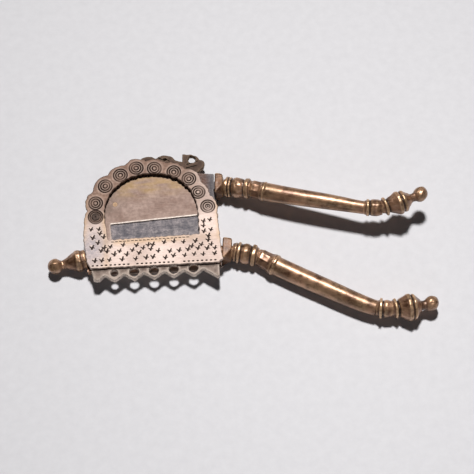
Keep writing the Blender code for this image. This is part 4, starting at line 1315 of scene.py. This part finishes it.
UPPER_HANDLE = {
    "root": UPPER_ROOT, "collar": (UPPER_COLLAR_ANGLE, UPPER_COLLAR_RISE),
    "ferrule": (UPPER_FERRULE_ANGLE, UPPER_FERRULE_RISE), "ferrule_length": 11.8,
    "ferrule_knots": UPPER_FERRULE, "waist": 3.75, "neck": (3.9, 4.3, 4.35), "lead": 0.25,
    "skew": 14.0,
    "line": UPPER_LINE, "radii": UPPER_RADII, "bead_end": UPPER_BEAD_END,
    "bead": (3.75, 3.75, 3.2), "ball": UPPER_BALL, "knob": (4.2, 5.35, 1.8, 3.35), "bow": 0.8,
}
LOWER_HANDLE = {
    "root": LOWER_ROOT, "collar": (LOWER_COLLAR_ANGLE, LOWER_COLLAR_RISE),
    "ferrule": (LOWER_FERRULE_ANGLE, LOWER_FERRULE_RISE), "ferrule_length": 10.8,
    "ferrule_knots": LOWER_FERRULE, "waist": 4.0, "neck": (3.8, 4.75, 4.75), "lead": 0.9,
    "skew": 5.0,
    "line": LOWER_LINE, "radii": LOWER_RADII, "bead_end": LOWER_BEAD_END,
    "bead": (4.5, 3.9, 3.5), "ball": LOWER_BALL, "knob": (4.3, 6.1, 2.0, 3.35), "bow": 0.65,
}


def anvil_bar():
    """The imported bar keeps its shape; it gets eased edges and the bronze look."""
    bar = frame["nodes"]["anvil_bar"]
    bar.data.materials.clear()
    bar.data.materials.append(MATERIALS["bronze"])
    ease_edges = bar.modifiers.new("eased_edges", "BEVEL")
    ease_edges.width = 0.25 * MM
    ease_edges.segments = 3
    ease_edges.limit_method = "ANGLE"


# ---------------------------------------------------------------- stage

VIEW_ELEVATION = math.radians(66.0)
VIEW_TURN = math.radians(4.3)
VIEW_DISTANCE = 0.6
VIEW_TARGET = Vector((-0.00066, 0.001145, 0.005))
FOCAL_LENGTH = 101.95
KEY_ELEVATION = math.radians(70.0)
KEY_DISTANCE, KEY_SIZE, KEY_POWER = 1.4, 0.17, 3.75
KEY_AIM, KEY_SPREAD = Vector((0.05, -0.09, 0.0)), 80.0
FILL_ELEVATION = math.radians(22.0)
FILL_DISTANCE, FILL_SIZE, FILL_POWER = 1.2, 0.5, 0.85
ROOM_BRIGHTNESS = 0.011
FLOOR_HALF_SIZE = 1.5
FLOOR_GAP = 0.0001


def direction(azimuth, elevation):
    """Unit vector away from the tool; azimuth 0 is behind it, at +Y."""
    return Vector((math.sin(azimuth) * math.cos(elevation),
                   math.cos(azimuth) * math.cos(elevation), math.sin(elevation)))


def add_camera():
    data = bpy.data.cameras.new("camera")
    data.lens = FOCAL_LENGTH
    data.clip_start, data.clip_end = 0.01, 10.0
    camera = add_object("camera", data)
    back = direction(VIEW_TURN + math.pi, VIEW_ELEVATION)
    camera.location = VIEW_TARGET + back * VIEW_DISTANCE
    camera.rotation_euler = (-back).to_track_quat("-Z", "Y").to_euler()
    bpy.context.scene.camera = camera


def area_light(name, way, distance, size, power, colour, aim=Vector(), spread=180.0):
    data = bpy.data.lights.new(name, "AREA")
    data.shape = "DISK"
    data.size = size
    data.energy = power
    data.color = colour
    data.spread = math.radians(spread)
    light = add_object(name, data)
    light.location = way * distance
    light.rotation_euler = (aim - light.location).to_track_quat("-Z", "Y").to_euler()


def add_lights():
    """Small key from behind the tool, a faint cool fill from the front, a dim room."""
    area_light("key", direction(VIEW_TURN, KEY_ELEVATION), KEY_DISTANCE, KEY_SIZE, KEY_POWER,
               (1.0, 0.99, 0.985), aim=KEY_AIM, spread=KEY_SPREAD)
    area_light("fill", direction(VIEW_TURN + math.pi, FILL_ELEVATION), FILL_DISTANCE,
               FILL_SIZE, FILL_POWER, (0.78, 0.87, 1.0))
    world = bpy.data.worlds.new("room")
    world.use_nodes = True
    backdrop = world.node_tree.nodes["Background"]
    backdrop.inputs["Color"].default_value = (0.9, 0.89, 0.97, 1.0)
    backdrop.inputs["Strength"].default_value = ROOM_BRIGHTNESS
    bpy.context.scene.world = world


def add_floor():
    """Pale card with a faint mottle and fine tooth."""
    mesh = bpy.data.meshes.new("floor")
    half = FLOOR_HALF_SIZE
    mesh.from_pydata([(-half, -half, 0), (half, -half, 0), (half, half, 0), (-half, half, 0)],
                     [], [(0, 1, 2, 3)])
    floor = add_object("floor", mesh)
    floor.location.z = -FLOOR_GAP
    material, tree, shader, place = new_material("pale_card")
    mottle = grain(tree, place, 0.25, 5.0, 0.6)
    tooth = grain(tree, place, 1.6, 3.0, 0.7)
    tone = blend_colour(tree, span(tree, mottle, 0.3, 0.7), rgba((0.755, 0.745, 0.765)),
                        rgba((0.80, 0.79, 0.81)))
    tree.links.new(tone, shader.inputs["Base Color"])
    shader.inputs["Roughness"].default_value = 0.85
    add_bump(tree, shader, tooth, 0.25, 0.1)
    mesh.materials.append(material)


def build():
    guard_plates()
    plate_rivets()
    crest_strip()
    anvil_bar()
    pivot_pin()
    finial()
    handle("lower", LOWER_HANDLE, GUARD, 0.0)
    blade()
    cheeks()
    jaw_crest()
    cheek_rivets()
    handle("upper", UPPER_HANDLE, BLADE, REST_OPENING)


build()
add_camera()
add_lights()
add_floor()
bpy.context.scene.view_settings.view_transform = "Standard"
